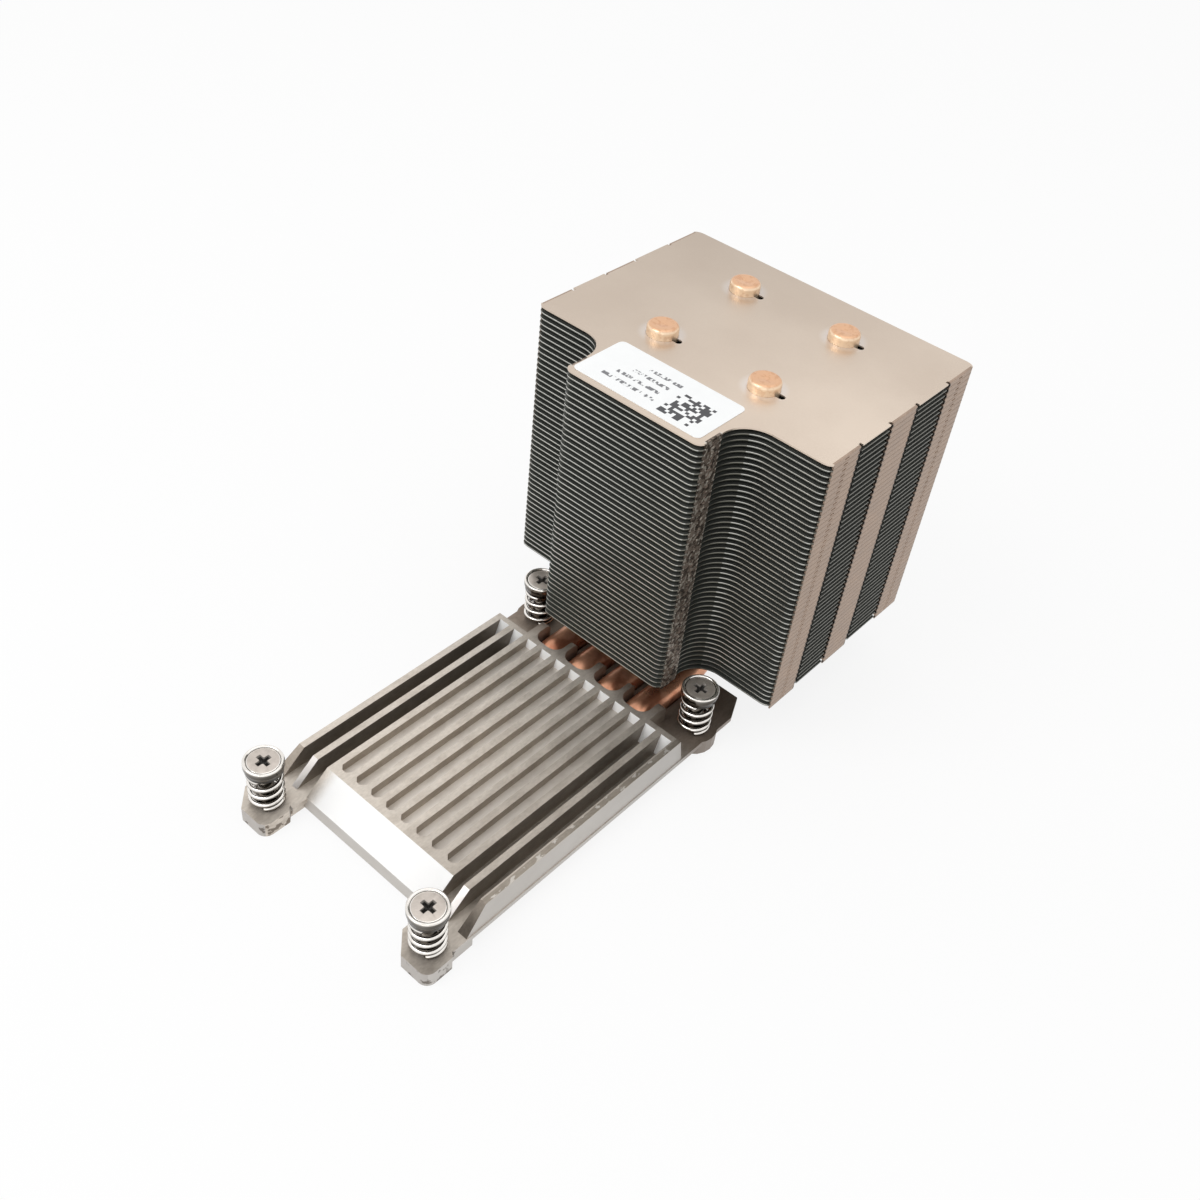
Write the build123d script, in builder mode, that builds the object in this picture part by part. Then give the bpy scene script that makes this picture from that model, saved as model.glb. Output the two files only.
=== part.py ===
from build123d import *
import math
import os

# Passive heatsink for a server processor: a die-cast base with a ribbed front field, four copper
# heat pipes laid in its troughs, and a tall T-shaped stack of thin fins standing behind the base.
# Origin: centre of the screw pattern, on the underside. +Y runs towards the fin stack, +Z up.

# Screw pattern and levels of the casting
SCREW_X = 56.0
SCREW_Y = 94.0
FLANGE_TOP = 4.4
FLANGE_THICK = 1.4
DECK_TOP = 10.0

# Outline of the casting
PEDESTAL_HALF = 23.6
FRONT_EDGE = -40.4
REAR_EDGE = 63.4
SIDE_HALF = 33.6
SIDE_REAR = 56.4
REAR_CORNER_HALF = 30.3
FRONT_PLATE_Y = -44.6
BOSS_RADIUS = 6.5
BOSS_REACH = 6.3
BOSS_BEVEL = 4.7
BOSS_FILLET = 2.6
BOSS_STEP = 1.2
BOSS_STEP_FRONT = 5.3
BOSS_STEP_REAR = 4.2
BOSS_OVERLAP = 2.0
BOSS_SIDES = 20

# Ribbed field
RIB_PITCH = 5.24
RIB_THICK = 1.81
FIELD_FRONT = -33.6
LAND = 2.1
CHANNEL_FLOOR = 7.5
FIELD_REAR = 33.8
CROSSBAR = 1.6
CHANNEL_DRAFT = 0.8
DEEP_DRAFT = 2.0
INNER_CHANNELS = 8
OUTER_RIBS = 2
CHANNEL_NOSE = 1.1

# Troughs and heat pipes
LANES = (5.2, 15.4)
TROUGH_WIDE = 8.6
TROUGH_CORNER = 3.0
TROUGH_FLOOR = 0.5
TUNNEL_LONG = 3.3
TUNNEL_TOP = 8.1
GROOVE_END = 0.5
DECK_REAR = 42.5
DECK_ROUND = 1.8
PIPE_R = 4.0
PIPE_Z = 4.8
FLAT_WIDE = 8.8
FLAT_HIGH = 5.4
FLAT_FRONT = -28.0
FLAT_REAR = 34.2
ROUND_FROM = 41.2
BEND_R = 13.0
SWAY_R = 16.9
SWAY_START = 64.0
RISER_X = 15.4
RISER_Y = (68.6, 101.8)
PIPE_PROUD = 2.7
PIPE_CHAMFER = 0.9
PIPE_SIDES = 12
BEND_STEPS = 5
SWAY_STEPS = 3
GROOVE_GAP = 0.2

# Copper cold plate in the underside
COLD_HALF = 21.4
COLD_FRONT = -30.0
COLD_REAR = 31.0
COLD_THICK = 1.4
COLD_GAP = 0.1

# Fin stack
FIN_COUNT = 49
FIN_PITCH = 1.58
FIN_THICK = 0.4
FIN_TOP = 93.5
WIDE_HALF = 43.75
WIDE_FRONT = 54.8
WIDE_REAR = 117.7
NARROW_HALF = 20.2
NARROW_FRONT = 38.8
NOTCH_R = 7.8
CORNER_ACROSS = 2.1
CORNER_ALONG = 1.3
TAB_THICK = 0.35
TAB_WIDE = 10.6
TAB_YS = (61.4, 85.4, 111.1)
NARROW_TAB_WIDE = 6.0
NARROW_TAB_Y = 43.7
TAB_GAP = 0.03
COLLAR_WIDE = 9.6
BORE_GAP = 0.1
RELIEF_WIDE = 0.7
RELIEF_DEEP = 0.9
KEYHOLE_REACH = 5.5
KEYHOLE_WIDE = 2.0

# Label
LABEL_WIDE = 37.5
LABEL_DEEP = 18.0
LABEL_THICK = 0.12
LABEL_X = -0.5
LABEL_Y = 49.4
LABEL_BEVEL = 0.9

# Captive screws with their cups, springs and retaining rings
CUP_R = 4.9
CUP_FOOT = 15.1
CUP_RIM = 18.4
CUP_FLOOR = 16.8
CUP_RECESS_R = 4.3
CUP_EDGE = 0.5
CUP_EDGE_TAPER = 40
CUP_SIDES = 16
HEAD_R = 4.0
HEAD_GAP = 0.1
HEAD_TOP = 18.15
CROSS_WIDE = 1.0
CROSS_LONG = 3.8
CROSS_DEEP = 0.9
CROSS_TAPER = 15
SHANK_R = 1.95
SHANK_GAP = 0.08
SHANK_TIP = 0.3
SHANK_SIDES = 10
HOLE_R = 2.4
COUNTERBORE_R = 3.7
COUNTERBORE_DEEP = 2.2
RING_R = 3.2
RING_THICK = 0.8
RING_Z = 1.3
WIRE = 1.15
SPRING_R = 3.85
SPRING_TURNS = 4.0
SPRING_START = -math.radians(55)
CLOSED_RISE = 1.3
SPRING_STEPS = 9
SPRING_GAP = 0.15

os.makedirs("parts", exist_ok=True)
corners = {
    "front_left": (-SCREW_X / 2, -SCREW_Y / 2),
    "front_right": (SCREW_X / 2, -SCREW_Y / 2),
    "rear_left": (-SCREW_X / 2, SCREW_Y / 2),
    "rear_right": (SCREW_X / 2, SCREW_Y / 2),
}


def save(solid, name):
    solid.label = name
    export_step(solid, f"parts/{name}.step")


# Base casting
channel_width = RIB_PITCH - RIB_THICK
plateau_half = INNER_CHANNELS / 2 * RIB_PITCH + RIB_THICK / 2
field_half = plateau_half + OUTER_RIBS * RIB_PITCH
crossbar_rear = FIELD_REAR + CROSSBAR
boss_front = -SCREW_Y / 2 - BOSS_REACH
channel_front = FIELD_FRONT + LAND

with BuildPart() as channel_tool:
    with BuildSketch(Plane.YZ):
        with BuildLine():
            Polyline(
                (channel_front, CHANNEL_FLOOR),
                (FIELD_REAR - CHANNEL_DRAFT, CHANNEL_FLOOR),
                (FIELD_REAR, DECK_TOP),
                (channel_front, DECK_TOP),
                close=True,
            )
        make_face()
    extrude(amount=channel_width / 2, both=True)
    front_edges = channel_tool.edges().filter_by(Axis.Z).group_by(Axis.Y)[0]
    chamfer(front_edges, CHANNEL_NOSE)

# Draft that carries the outermost rib out to the edge of the flange
with BuildPart() as side_draft:
    with BuildSketch(Plane.XZ.offset(-crossbar_rear)):
        with BuildLine():
            Polyline(
                (field_half - RIB_THICK / 2, FLANGE_TOP - FLANGE_THICK),
                (SIDE_HALF, FLANGE_TOP - FLANGE_THICK),
                (field_half, DECK_TOP),
                (field_half - RIB_THICK / 2, DECK_TOP),
                close=True,
            )
        make_face()
    extrude(amount=crossbar_rear - FRONT_EDGE)
    with BuildSketch(Plane.YZ):
        with BuildLine():
            Polyline(
                (FRONT_EDGE, FLANGE_TOP),
                (FIELD_FRONT, DECK_TOP),
                (FRONT_EDGE, DECK_TOP),
                close=True,
            )
        make_face()
    extrude(amount=2 * SIDE_HALF, mode=Mode.SUBTRACT)

with BuildPart() as base_casting:
    with BuildSketch():
        with Locations((0, (FRONT_EDGE + REAR_EDGE) / 2)):
            Rectangle(2 * PEDESTAL_HALF, REAR_EDGE - FRONT_EDGE)
    extrude(amount=FLANGE_TOP)

    # Thin flange to both sides
    with BuildSketch(Plane.XY.offset(FLANGE_TOP - FLANGE_THICK)):
        with BuildLine():
            Polyline(
                (-SIDE_HALF, FRONT_PLATE_Y),
                (SIDE_HALF, FRONT_PLATE_Y),
                (SIDE_HALF, SIDE_REAR),
                (REAR_CORNER_HALF, REAR_EDGE),
                (-REAR_CORNER_HALF, REAR_EDGE),
                (-SIDE_HALF, SIDE_REAR),
                close=True,
            )
        make_face()
        with Locations((0, FRONT_PLATE_Y)):
            Rectangle(2 * (SCREW_X / 2 - BOSS_RADIUS), 2 * (FRONT_EDGE - FRONT_PLATE_Y), mode=Mode.SUBTRACT)
    extrude(amount=FLANGE_THICK)

    # Front screw tabs, each with one bevelled and one rounded corner
    for side in (-1, 1):
        tab_left = side * SCREW_X / 2 - BOSS_RADIUS
        tab_right = side * SCREW_X / 2 + BOSS_RADIUS
        with BuildSketch() as tab:
            with BuildLine():
                Polyline(
                    (tab_left, FRONT_EDGE + BOSS_OVERLAP),
                    (tab_left, boss_front + BOSS_BEVEL),
                    (tab_left + BOSS_BEVEL, boss_front),
                    (tab_right, boss_front),
                    (tab_right, FRONT_EDGE - BOSS_STEP_FRONT),
                    (tab_right - BOSS_STEP, FRONT_EDGE - BOSS_STEP_REAR),
                    (tab_right - BOSS_STEP, FRONT_EDGE + BOSS_OVERLAP),
                    close=True,
                )
            make_face()
            fillet(tab.vertices().group_by(Axis.Y)[0].sort_by(Axis.X)[-1], BOSS_FILLET)
        extrude(amount=FLANGE_TOP)

    # Rear screw bosses
    with BuildSketch():
        with Locations(corners["rear_left"], corners["rear_right"]):
            RegularPolygon(BOSS_RADIUS, BOSS_SIDES)
    extrude(amount=FLANGE_TOP)

    # Plateau with its front ramp and the rounded rear end of the deck
    with BuildSketch(Plane.YZ):
        with BuildLine():
            Polyline(
                (DECK_REAR, DECK_TOP - DECK_ROUND),
                (DECK_REAR, FLANGE_TOP - FLANGE_THICK),
                (FRONT_EDGE, FLANGE_TOP - FLANGE_THICK),
                (FRONT_EDGE, FLANGE_TOP),
                (FIELD_FRONT, DECK_TOP),
                (DECK_REAR - DECK_ROUND, DECK_TOP),
            )
            RadiusArc((DECK_REAR - DECK_ROUND, DECK_TOP), (DECK_REAR, DECK_TOP - DECK_ROUND), DECK_ROUND)
        make_face()
    extrude(amount=plateau_half, both=True)

    # Outer ribs, joined to the plateau by the crossbar
    for side in (-1, 1):
        for number in range(1, OUTER_RIBS + 1):
            rib_x = side * (plateau_half - RIB_THICK / 2 + number * RIB_PITCH)
            with BuildSketch(Plane.YZ.offset(rib_x)):
                with BuildLine():
                    Polyline(
                        (FRONT_EDGE, FLANGE_TOP - FLANGE_THICK),
                        (FRONT_EDGE, FLANGE_TOP),
                        (FIELD_FRONT, DECK_TOP),
                        (crossbar_rear, DECK_TOP),
                        (crossbar_rear, FLANGE_TOP - FLANGE_THICK),
                        close=True,
                    )
                make_face()
            extrude(amount=RIB_THICK / 2, both=True)
    with BuildSketch(Plane.YZ):
        with BuildLine():
            Polyline(
                (FIELD_REAR - DEEP_DRAFT, FLANGE_TOP),
                (FIELD_REAR, DECK_TOP),
                (crossbar_rear, DECK_TOP),
                (crossbar_rear, FLANGE_TOP),
                close=True,
            )
        make_face()
    extrude(amount=field_half, both=True)
    add(side_draft.part)
    add(mirror(side_draft.part, about=Plane.YZ))

    # Shallow channels between the inner ribs
    with GridLocations(RIB_PITCH, 1, INNER_CHANNELS, 1):
        add(channel_tool.part, mode=Mode.SUBTRACT)

    # Troughs for the pipes: open behind the crossbar, a tunnel beneath it, a groove under the plateau
    for lane in LANES:
        for side in (-1, 1):
            with BuildSketch(Plane.XY.offset(TROUGH_FLOOR)) as trough:
                with Locations((side * lane, crossbar_rear)):
                    Rectangle(TROUGH_WIDE, REAR_EDGE - crossbar_rear + 1, align=(Align.CENTER, Align.MIN))
                fillet(trough.vertices().group_by(Axis.Y)[0], TROUGH_CORNER)
            extrude(amount=DECK_TOP, mode=Mode.SUBTRACT)
            with BuildSketch(Plane.XY.offset(TROUGH_FLOOR)):
                with Locations((side * lane, FLAT_REAR)):
                    Rectangle(FLAT_WIDE + GROOVE_GAP, TUNNEL_LONG, align=(Align.CENTER, Align.MIN))
            extrude(amount=TUNNEL_TOP - TROUGH_FLOOR, mode=Mode.SUBTRACT)
            with BuildSketch(Plane.XY.offset(TROUGH_FLOOR)):
                with Locations((side * lane, FLAT_FRONT - GROOVE_END)):
                    Rectangle(
                        FLAT_WIDE + GROOVE_GAP,
                        FLAT_REAR - FLAT_FRONT + GROOVE_END,
                        align=(Align.CENTER, Align.MIN),
                    )
            extrude(amount=COLD_THICK + FLAT_HIGH + GROOVE_GAP - TROUGH_FLOOR, mode=Mode.SUBTRACT)

    # Pocket for the cold plate
    with BuildSketch():
        with Locations((0, (COLD_FRONT + COLD_REAR) / 2)):
            Rectangle(2 * (COLD_HALF + COLD_GAP), COLD_REAR - COLD_FRONT + 2 * COLD_GAP)
    extrude(amount=COLD_THICK, mode=Mode.SUBTRACT)

    # Screw holes, counterbored from below for the retaining rings
    with BuildSketch():
        with Locations(*corners.values()):
            RegularPolygon(HOLE_R, SHANK_SIDES, major_radius=False)
    extrude(amount=DECK_TOP, mode=Mode.SUBTRACT)
    with BuildSketch():
        with Locations(*corners.values()):
            RegularPolygon(COUNTERBORE_R, SHANK_SIDES, major_radius=False)
    extrude(amount=COUNTERBORE_DEEP, mode=Mode.SUBTRACT)
save(base_casting.part, "base_casting")


# Cold plate
with BuildPart() as cold_plate:
    with BuildSketch():
        with Locations((0, (COLD_FRONT + COLD_REAR) / 2)):
            Rectangle(2 * COLD_HALF, COLD_REAR - COLD_FRONT)
    extrude(amount=COLD_THICK)
save(cold_plate.part, "cold_plate")


# Heat pipes: flattened under the plateau, round behind it, then bent upright through the fins
def pipe_section(x, y, z, wide, high):
    """Draw one flat-sided section of a pipe, square to the level run."""
    radius = high / 2
    flat = (wide - high) / 2
    points = []
    for step in range(PIPE_SIDES):
        a = (step + 0.5) * 2 * math.pi / PIPE_SIDES
        points.append((math.copysign(flat, math.cos(a)) + radius * math.cos(a), radius * math.sin(a)))
    with BuildSketch(Plane(origin=(x, y, z), x_dir=(-1, 0, 0), z_dir=(0, 1, 0))) as section:
        with BuildLine():
            Polyline(*points, close=True)
        make_face()
    return section.sketch


def heat_pipe(side, lane, riser_y):
    """Build one pipe from its lane in the base to its place in the fin stack."""
    sway = RISER_X - lane
    turn = math.acos(1 - sway / (2 * SWAY_R))
    flat_z = COLD_THICK + FLAT_HIGH / 2
    wide = 2 * PIPE_R
    # Course of the round part: one arc out and one arc back where it sways, then the bend upright
    course = [(side * lane, ROUND_FROM, PIPE_Z)]
    sway_steps = [turn * (step + 0.5) / SWAY_STEPS for step in range(SWAY_STEPS)] if sway > 0 else []
    for a in sway_steps:
        x = lane + SWAY_R * (1 - math.cos(a))
        course.append((side * x, SWAY_START + SWAY_R * math.sin(a), PIPE_Z))
    for a in sway_steps[::-1]:
        x = RISER_X - SWAY_R * (1 - math.cos(a))
        course.append((side * x, SWAY_START + SWAY_R * (2 * math.sin(turn) - math.sin(a)), PIPE_Z))
    for step in range(BEND_STEPS + 1):
        a = math.pi / 2 * step / BEND_STEPS
        y = riser_y - BEND_R + BEND_R * math.sin(a)
        z = PIPE_Z + BEND_R * (1 - math.cos(a))
        course.append((side * RISER_X, y, z))
    course.append((side * RISER_X, riser_y, FIN_TOP + PIPE_PROUD))

    flat_front = pipe_section(side * lane, FLAT_FRONT, flat_z, FLAT_WIDE, FLAT_HIGH)
    flat_rear = pipe_section(side * lane, FLAT_REAR, flat_z, FLAT_WIDE, FLAT_HIGH)
    round_front = pipe_section(side * lane, ROUND_FROM, PIPE_Z, wide, wide)
    with BuildPart() as pipe:
        loft([flat_front, flat_rear, round_front], ruled=True)
        with BuildLine() as path:
            Polyline(*course)
        sweep(round_front, path=path.line, transition=Transition.RIGHT)
        chamfer(pipe.faces().sort_by(Axis.Z)[-1].edges(), PIPE_CHAMFER)
    return pipe.part


for side, hand in ((-1, "left"), (1, "right")):
    save(heat_pipe(side, LANES[1], RISER_Y[0]), f"{hand}_front_heat_pipe")
    save(heat_pipe(side, LANES[0], RISER_Y[1]), f"{hand}_rear_heat_pipe")


# Fins
fin_top_z = FIN_TOP - FIN_THICK
stack_fins = FIN_COUNT - 1
stack_bottom = fin_top_z - stack_fins * FIN_PITCH
risers = [(side * RISER_X, y) for side in (-1, 1) for y in RISER_Y]
tab_drop = FIN_PITCH - FIN_THICK - TAB_GAP


def fin_outline(edge):
    """Draw the T-shaped plan of a fin whose side edges lie the given distance inside its tabs."""
    wide = WIDE_HALF - edge
    narrow = NARROW_HALF - edge
    notch_x = narrow + NOTCH_R
    notch_y = WIDE_FRONT - NOTCH_R
    bite = [
        (notch_x - NOTCH_R * math.cos(step), notch_y + NOTCH_R * math.sin(step))
        for step in (0, math.pi / 6, math.pi / 3, math.pi / 2)
    ]
    half = [
        (narrow - CORNER_ACROSS, NARROW_FRONT),
        (narrow, NARROW_FRONT + CORNER_ALONG),
        *bite,
        (wide - CORNER_ACROSS, WIDE_FRONT),
        (wide, WIDE_FRONT + CORNER_ALONG),
        (wide, WIDE_REAR - CORNER_ALONG),
        (wide - CORNER_ACROSS, WIDE_REAR),
    ]
    other = [(-x, y) for x, y in reversed(half)]
    Polyline(*half, *other, close=True)


tab_places = [(WIDE_HALF, y, TAB_WIDE) for y in TAB_YS] + [(NARROW_HALF, NARROW_TAB_Y, NARROW_TAB_WIDE)]

stack_planes = [Plane.XY.offset(stack_bottom + number * FIN_PITCH) for number in range(stack_fins)]

with BuildPart() as fin_stack:
    with BuildSketch(*stack_planes):
        with BuildLine():
            fin_outline(TAB_THICK + TAB_GAP)
        make_face()
        with Locations(*risers):
            RegularPolygon(PIPE_R + BORE_GAP, PIPE_SIDES, major_radius=False, mode=Mode.SUBTRACT)
    extrude(amount=FIN_THICK)
    # Collars round the pipe holes, which space the fins
    with BuildSketch(Plane.XY.offset(stack_bottom)):
        with Locations(*risers):
            Rectangle(COLLAR_WIDE, COLLAR_WIDE)
            RegularPolygon(PIPE_R + BORE_GAP, PIPE_SIDES, major_radius=False, mode=Mode.SUBTRACT)
    extrude(amount=stack_fins * FIN_PITCH - TAB_GAP)
    # Folded tabs, which close up into strips down the sides
    with BuildSketch(Plane.XY.offset(stack_bottom - tab_drop)):
        for tab_x, tab_y, tab_wide in tab_places:
            with Locations((tab_x - TAB_THICK / 2, tab_y), (TAB_THICK / 2 - tab_x, tab_y)):
                Rectangle(TAB_THICK, tab_wide)
    extrude(amount=tab_drop + (stack_fins - 1) * FIN_PITCH + FIN_THICK)
    with BuildSketch(stack_planes[0], stack_planes[-1]):
        for tab_x, tab_y, tab_wide in tab_places:
            with Locations((tab_x - TAB_THICK, tab_y), (TAB_THICK - tab_x, tab_y)):
                Rectangle(4 * TAB_GAP, tab_wide)
    extrude(amount=FIN_THICK)
save(fin_stack.part, "fin_stack")

with BuildPart() as top_fin:
    with BuildSketch(Plane.XY.offset(fin_top_z)):
        with BuildLine():
            fin_outline(0)
        make_face()
        with Locations(*risers):
            RegularPolygon(PIPE_R + BORE_GAP, PIPE_SIDES, major_radius=False, mode=Mode.SUBTRACT)
        with Locations(*[(x + KEYHOLE_REACH / 2, y) for x, y in risers]):
            SlotOverall(KEYHOLE_REACH + KEYHOLE_WIDE / 2, KEYHOLE_WIDE, mode=Mode.SUBTRACT)
        for side in (-1, 1):
            for tab_x, tab_y, tab_wide in tab_places:
                for end in (-1, 1):
                    with Locations((side * tab_x, tab_y + end * (tab_wide + RELIEF_WIDE) / 2)):
                        Rectangle(2 * RELIEF_DEEP, RELIEF_WIDE, mode=Mode.SUBTRACT)
    extrude(amount=FIN_THICK)
    for side in (-1, 1):
        for tab_x, tab_y, tab_wide in tab_places:
            with BuildSketch(Plane.XY.offset(fin_top_z - tab_drop)):
                with Locations((side * (tab_x - TAB_THICK / 2), tab_y)):
                    Rectangle(TAB_THICK, tab_wide)
            extrude(amount=tab_drop)
save(top_fin.part, "top_fin")

with BuildPart() as label:
    with BuildSketch(Plane.XY.offset(FIN_TOP)) as sheet:
        with Locations((LABEL_X, LABEL_Y)):
            Rectangle(LABEL_WIDE, LABEL_DEEP)
        chamfer(sheet.vertices(), LABEL_BEVEL)
    extrude(amount=LABEL_THICK)
save(label.part, "label")

# Captive screws, built on the pattern's centre and set out to the four corners
with BuildPart() as cup:
    with BuildSketch(Plane.XY.offset(CUP_FOOT)):
        RegularPolygon(CUP_R, CUP_SIDES)
    extrude(amount=CUP_RIM - CUP_EDGE - CUP_FOOT)
    with BuildSketch(Plane.XY.offset(CUP_RIM - CUP_EDGE)):
        RegularPolygon(CUP_R, CUP_SIDES)
    extrude(amount=CUP_EDGE, taper=CUP_EDGE_TAPER)
    with BuildSketch(Plane.XY.offset(CUP_FLOOR)):
        RegularPolygon(CUP_RECESS_R, CUP_SIDES)
    extrude(amount=CUP_RIM - CUP_FLOOR, mode=Mode.SUBTRACT)
    with BuildSketch(Plane.XY.offset(CUP_FOOT)):
        RegularPolygon(SHANK_R + SHANK_GAP, SHANK_SIDES, major_radius=False)
    extrude(amount=CUP_RIM - CUP_FOOT, mode=Mode.SUBTRACT)

with BuildPart() as screw:
    with BuildSketch(Plane.XY.offset(SHANK_TIP)):
        RegularPolygon(SHANK_R, SHANK_SIDES)
    extrude(amount=HEAD_TOP - SHANK_TIP)
    with BuildSketch(Plane.XY.offset(CUP_FLOOR + HEAD_GAP)):
        RegularPolygon(HEAD_R, CUP_SIDES)
    extrude(amount=HEAD_TOP - CUP_FLOOR - HEAD_GAP)
    with BuildSketch(Plane.XY.offset(HEAD_TOP)):
        Rectangle(CROSS_LONG, CROSS_WIDE)
        Rectangle(CROSS_WIDE, CROSS_LONG)
    extrude(amount=-CROSS_DEEP, taper=CROSS_TAPER, mode=Mode.SUBTRACT)

with BuildPart() as ring:
    with BuildSketch(Plane.XY.offset(RING_Z)):
        RegularPolygon(RING_R, SHANK_SIDES)
        RegularPolygon(SHANK_R + SHANK_GAP, SHANK_SIDES, major_radius=False, mode=Mode.SUBTRACT)
    extrude(amount=RING_THICK)

spring_foot = FLANGE_TOP + SPRING_GAP + WIRE / 2
spring_rise = CUP_FOOT - SPRING_GAP - WIRE / 2 - spring_foot
open_pitch = (spring_rise - CLOSED_RISE) / (SPRING_TURNS - 1)
coil_points = []
for step in range(round(SPRING_TURNS * SPRING_STEPS) + 1):
    turns = step / SPRING_STEPS
    height = CLOSED_RISE * min(turns, 1) + open_pitch * max(turns - 1, 0)
    a = SPRING_START + 2 * math.pi * turns
    coil_points.append((SPRING_R * math.cos(a), SPRING_R * math.sin(a), spring_foot + height))
with BuildPart() as spring:
    with BuildLine() as coil:
        Polyline(*coil_points)
    with BuildSketch(Plane(origin=coil.line @ 0, x_dir=(0, 0, 1), z_dir=coil.line % 0)):
        Rectangle(WIRE, WIRE)
    sweep(path=coil.line, transition=Transition.RIGHT)

for corner, (x, y) in corners.items():
    place = Location((x, y, 0))
    save(cup.part.moved(place), f"{corner}_spring_cup")
    save(screw.part.moved(place), f"{corner}_screw")
    save(ring.part.moved(place), f"{corner}_retaining_ring")
    save(spring.part.moved(place), f"{corner}_spring")
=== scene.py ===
"""Looks of a passive server heatsink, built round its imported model.

Lengths in this file are in millimetres and are turned into metres when a mesh is made. The part
frame has its origin at the centre of the screw pattern, on the underside, +Y towards the fins.
"""

from __future__ import annotations

import functools
import logging
import math
from dataclasses import dataclass
from enum import Enum
from typing import Any, Callable

import bmesh
import bpy
import numpy as np
from bpy.types import Material, Mesh, Node, NodeSocket, NodeTree, Object
from mathutils import Matrix, Vector

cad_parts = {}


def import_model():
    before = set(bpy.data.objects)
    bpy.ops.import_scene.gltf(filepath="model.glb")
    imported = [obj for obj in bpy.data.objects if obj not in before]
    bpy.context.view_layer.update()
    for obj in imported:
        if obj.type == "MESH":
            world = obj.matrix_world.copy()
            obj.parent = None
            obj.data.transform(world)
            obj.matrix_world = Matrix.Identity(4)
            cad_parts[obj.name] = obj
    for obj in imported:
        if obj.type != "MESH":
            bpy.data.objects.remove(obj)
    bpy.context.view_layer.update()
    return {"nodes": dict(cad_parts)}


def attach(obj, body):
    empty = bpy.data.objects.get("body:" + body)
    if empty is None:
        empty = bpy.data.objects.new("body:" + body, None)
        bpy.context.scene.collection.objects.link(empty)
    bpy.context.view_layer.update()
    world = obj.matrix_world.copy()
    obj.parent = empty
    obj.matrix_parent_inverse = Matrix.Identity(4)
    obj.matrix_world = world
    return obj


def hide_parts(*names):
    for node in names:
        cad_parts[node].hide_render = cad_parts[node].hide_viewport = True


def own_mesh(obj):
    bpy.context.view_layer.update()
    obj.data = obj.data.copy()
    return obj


MM = 0.001
SHARP_DEGREES = 38.0
BEVEL_DEGREES = 30.0
CLOSE_WELD = 0.0005
CASTING_EDGE = 0.18
COLD_PLATE_EDGE = 0.15
FIN_TOP = 93.5
FIN_PITCH = 1.58
COARSE_DETAIL = 4.0
FINE_DETAIL = 3.0
COLOUR_STOPS = (0.36, 0.64)
NOISE_RANGE = (0.3, 0.7)
BUMP_STRENGTH = 0.6
WHITE = (1.0, 1.0, 1.0, 1.0)
LOG = logging.getLogger("heatsink")

Array = np.ndarray
Triple = tuple[float, float, float]
Colour = Triple
Pair = tuple[float, float]
Pairs = tuple[Pair, ...]
Span = tuple[float, ...]


class Side(Enum):
    """The two mirrored sides of the heatsink."""

    LEFT = -1
    RIGHT = 1


class Corner(Enum):
    """Places of the four captive screws, as name stems of their nodes, in millimetres."""

    FRONT_LEFT = ("front_left", -28.0, -47.0)
    FRONT_RIGHT = ("front_right", 28.0, -47.0)
    REAR_LEFT = ("rear_left", -28.0, 47.0)
    REAR_RIGHT = ("rear_right", 28.0, 47.0)


# Meshes


def grid_mesh(name: str, grid: Array, wrap_rows: bool, wrap_columns: bool) -> Mesh:
    """Turn a grid of points into a quad mesh.

    Point (i, j) of the grid is vertex i * columns + j, and cell (i, j) is the quad
    (i, j), (i, j + 1), (i + 1, j + 1), (i + 1, j), with the indices taken round where it wraps.

    Args:
        name: Name of the mesh.
        grid: Points in millimetres, of shape (rows, columns, 3).
        wrap_rows: Whether the last row joins the first.
        wrap_columns: Whether the last column joins the first.

    Returns:
        A mesh in metres.
    """
    rows, columns = grid.shape[:2]
    i = np.arange(rows if wrap_rows else rows - 1)[:, None]
    j = np.arange(columns if wrap_columns else columns - 1)[None, :]
    k, m = (i + 1) % rows, (j + 1) % columns
    faces = np.stack([i * columns + j, i * columns + m, k * columns + m, k * columns + j], axis=-1)
    return quads_mesh(name, grid.reshape(-1, 3), faces.reshape(-1, 4))


def quads_mesh(name: str, points: Array, quads: Array) -> Mesh:
    """Make a smooth-shaded mesh from points and quads through foreach_set.

    Args:
        name: Name of the mesh.
        points: Points in millimetres, of shape (n, 3).
        quads: Vertex numbers, of shape (m, 4).

    Returns:
        A mesh in metres.
    """
    mesh = bpy.data.meshes.new(name)
    mesh.vertices.add(len(points))
    mesh.vertices.foreach_set("co", (points * MM).astype(np.float32).ravel())
    mesh.loops.add(quads.size)
    mesh.loops.foreach_set("vertex_index", quads.astype(np.int32).ravel())
    mesh.polygons.add(len(quads))
    mesh.polygons.foreach_set("loop_start", np.arange(0, quads.size, 4, dtype=np.int32))
    mesh.polygons.foreach_set("use_smooth", np.ones(len(quads), dtype=bool))
    mesh.update(calc_edges=True)
    mesh.validate()
    return mesh


def weld(mesh: Mesh, distance: float = 0.002) -> Mesh:
    """Merge coincident vertices, which closes poles and seams, and turn the faces outward.

    Args:
        mesh: Mesh in metres.
        distance: Merge distance in millimetres.

    Returns:
        The same mesh.
    """
    work = bmesh.new()
    work.from_mesh(mesh)
    bmesh.ops.remove_doubles(work, verts=work.verts, dist=distance * MM)
    bmesh.ops.recalc_face_normals(work, faces=work.faces)
    work.to_mesh(mesh)
    work.free()
    return mesh


def ring_angles(steps: int) -> Array:
    """Give the angles of a ring of points, from half a step on round a full turn."""
    return (np.arange(steps) + 0.5) * 2 * math.pi / steps


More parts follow.
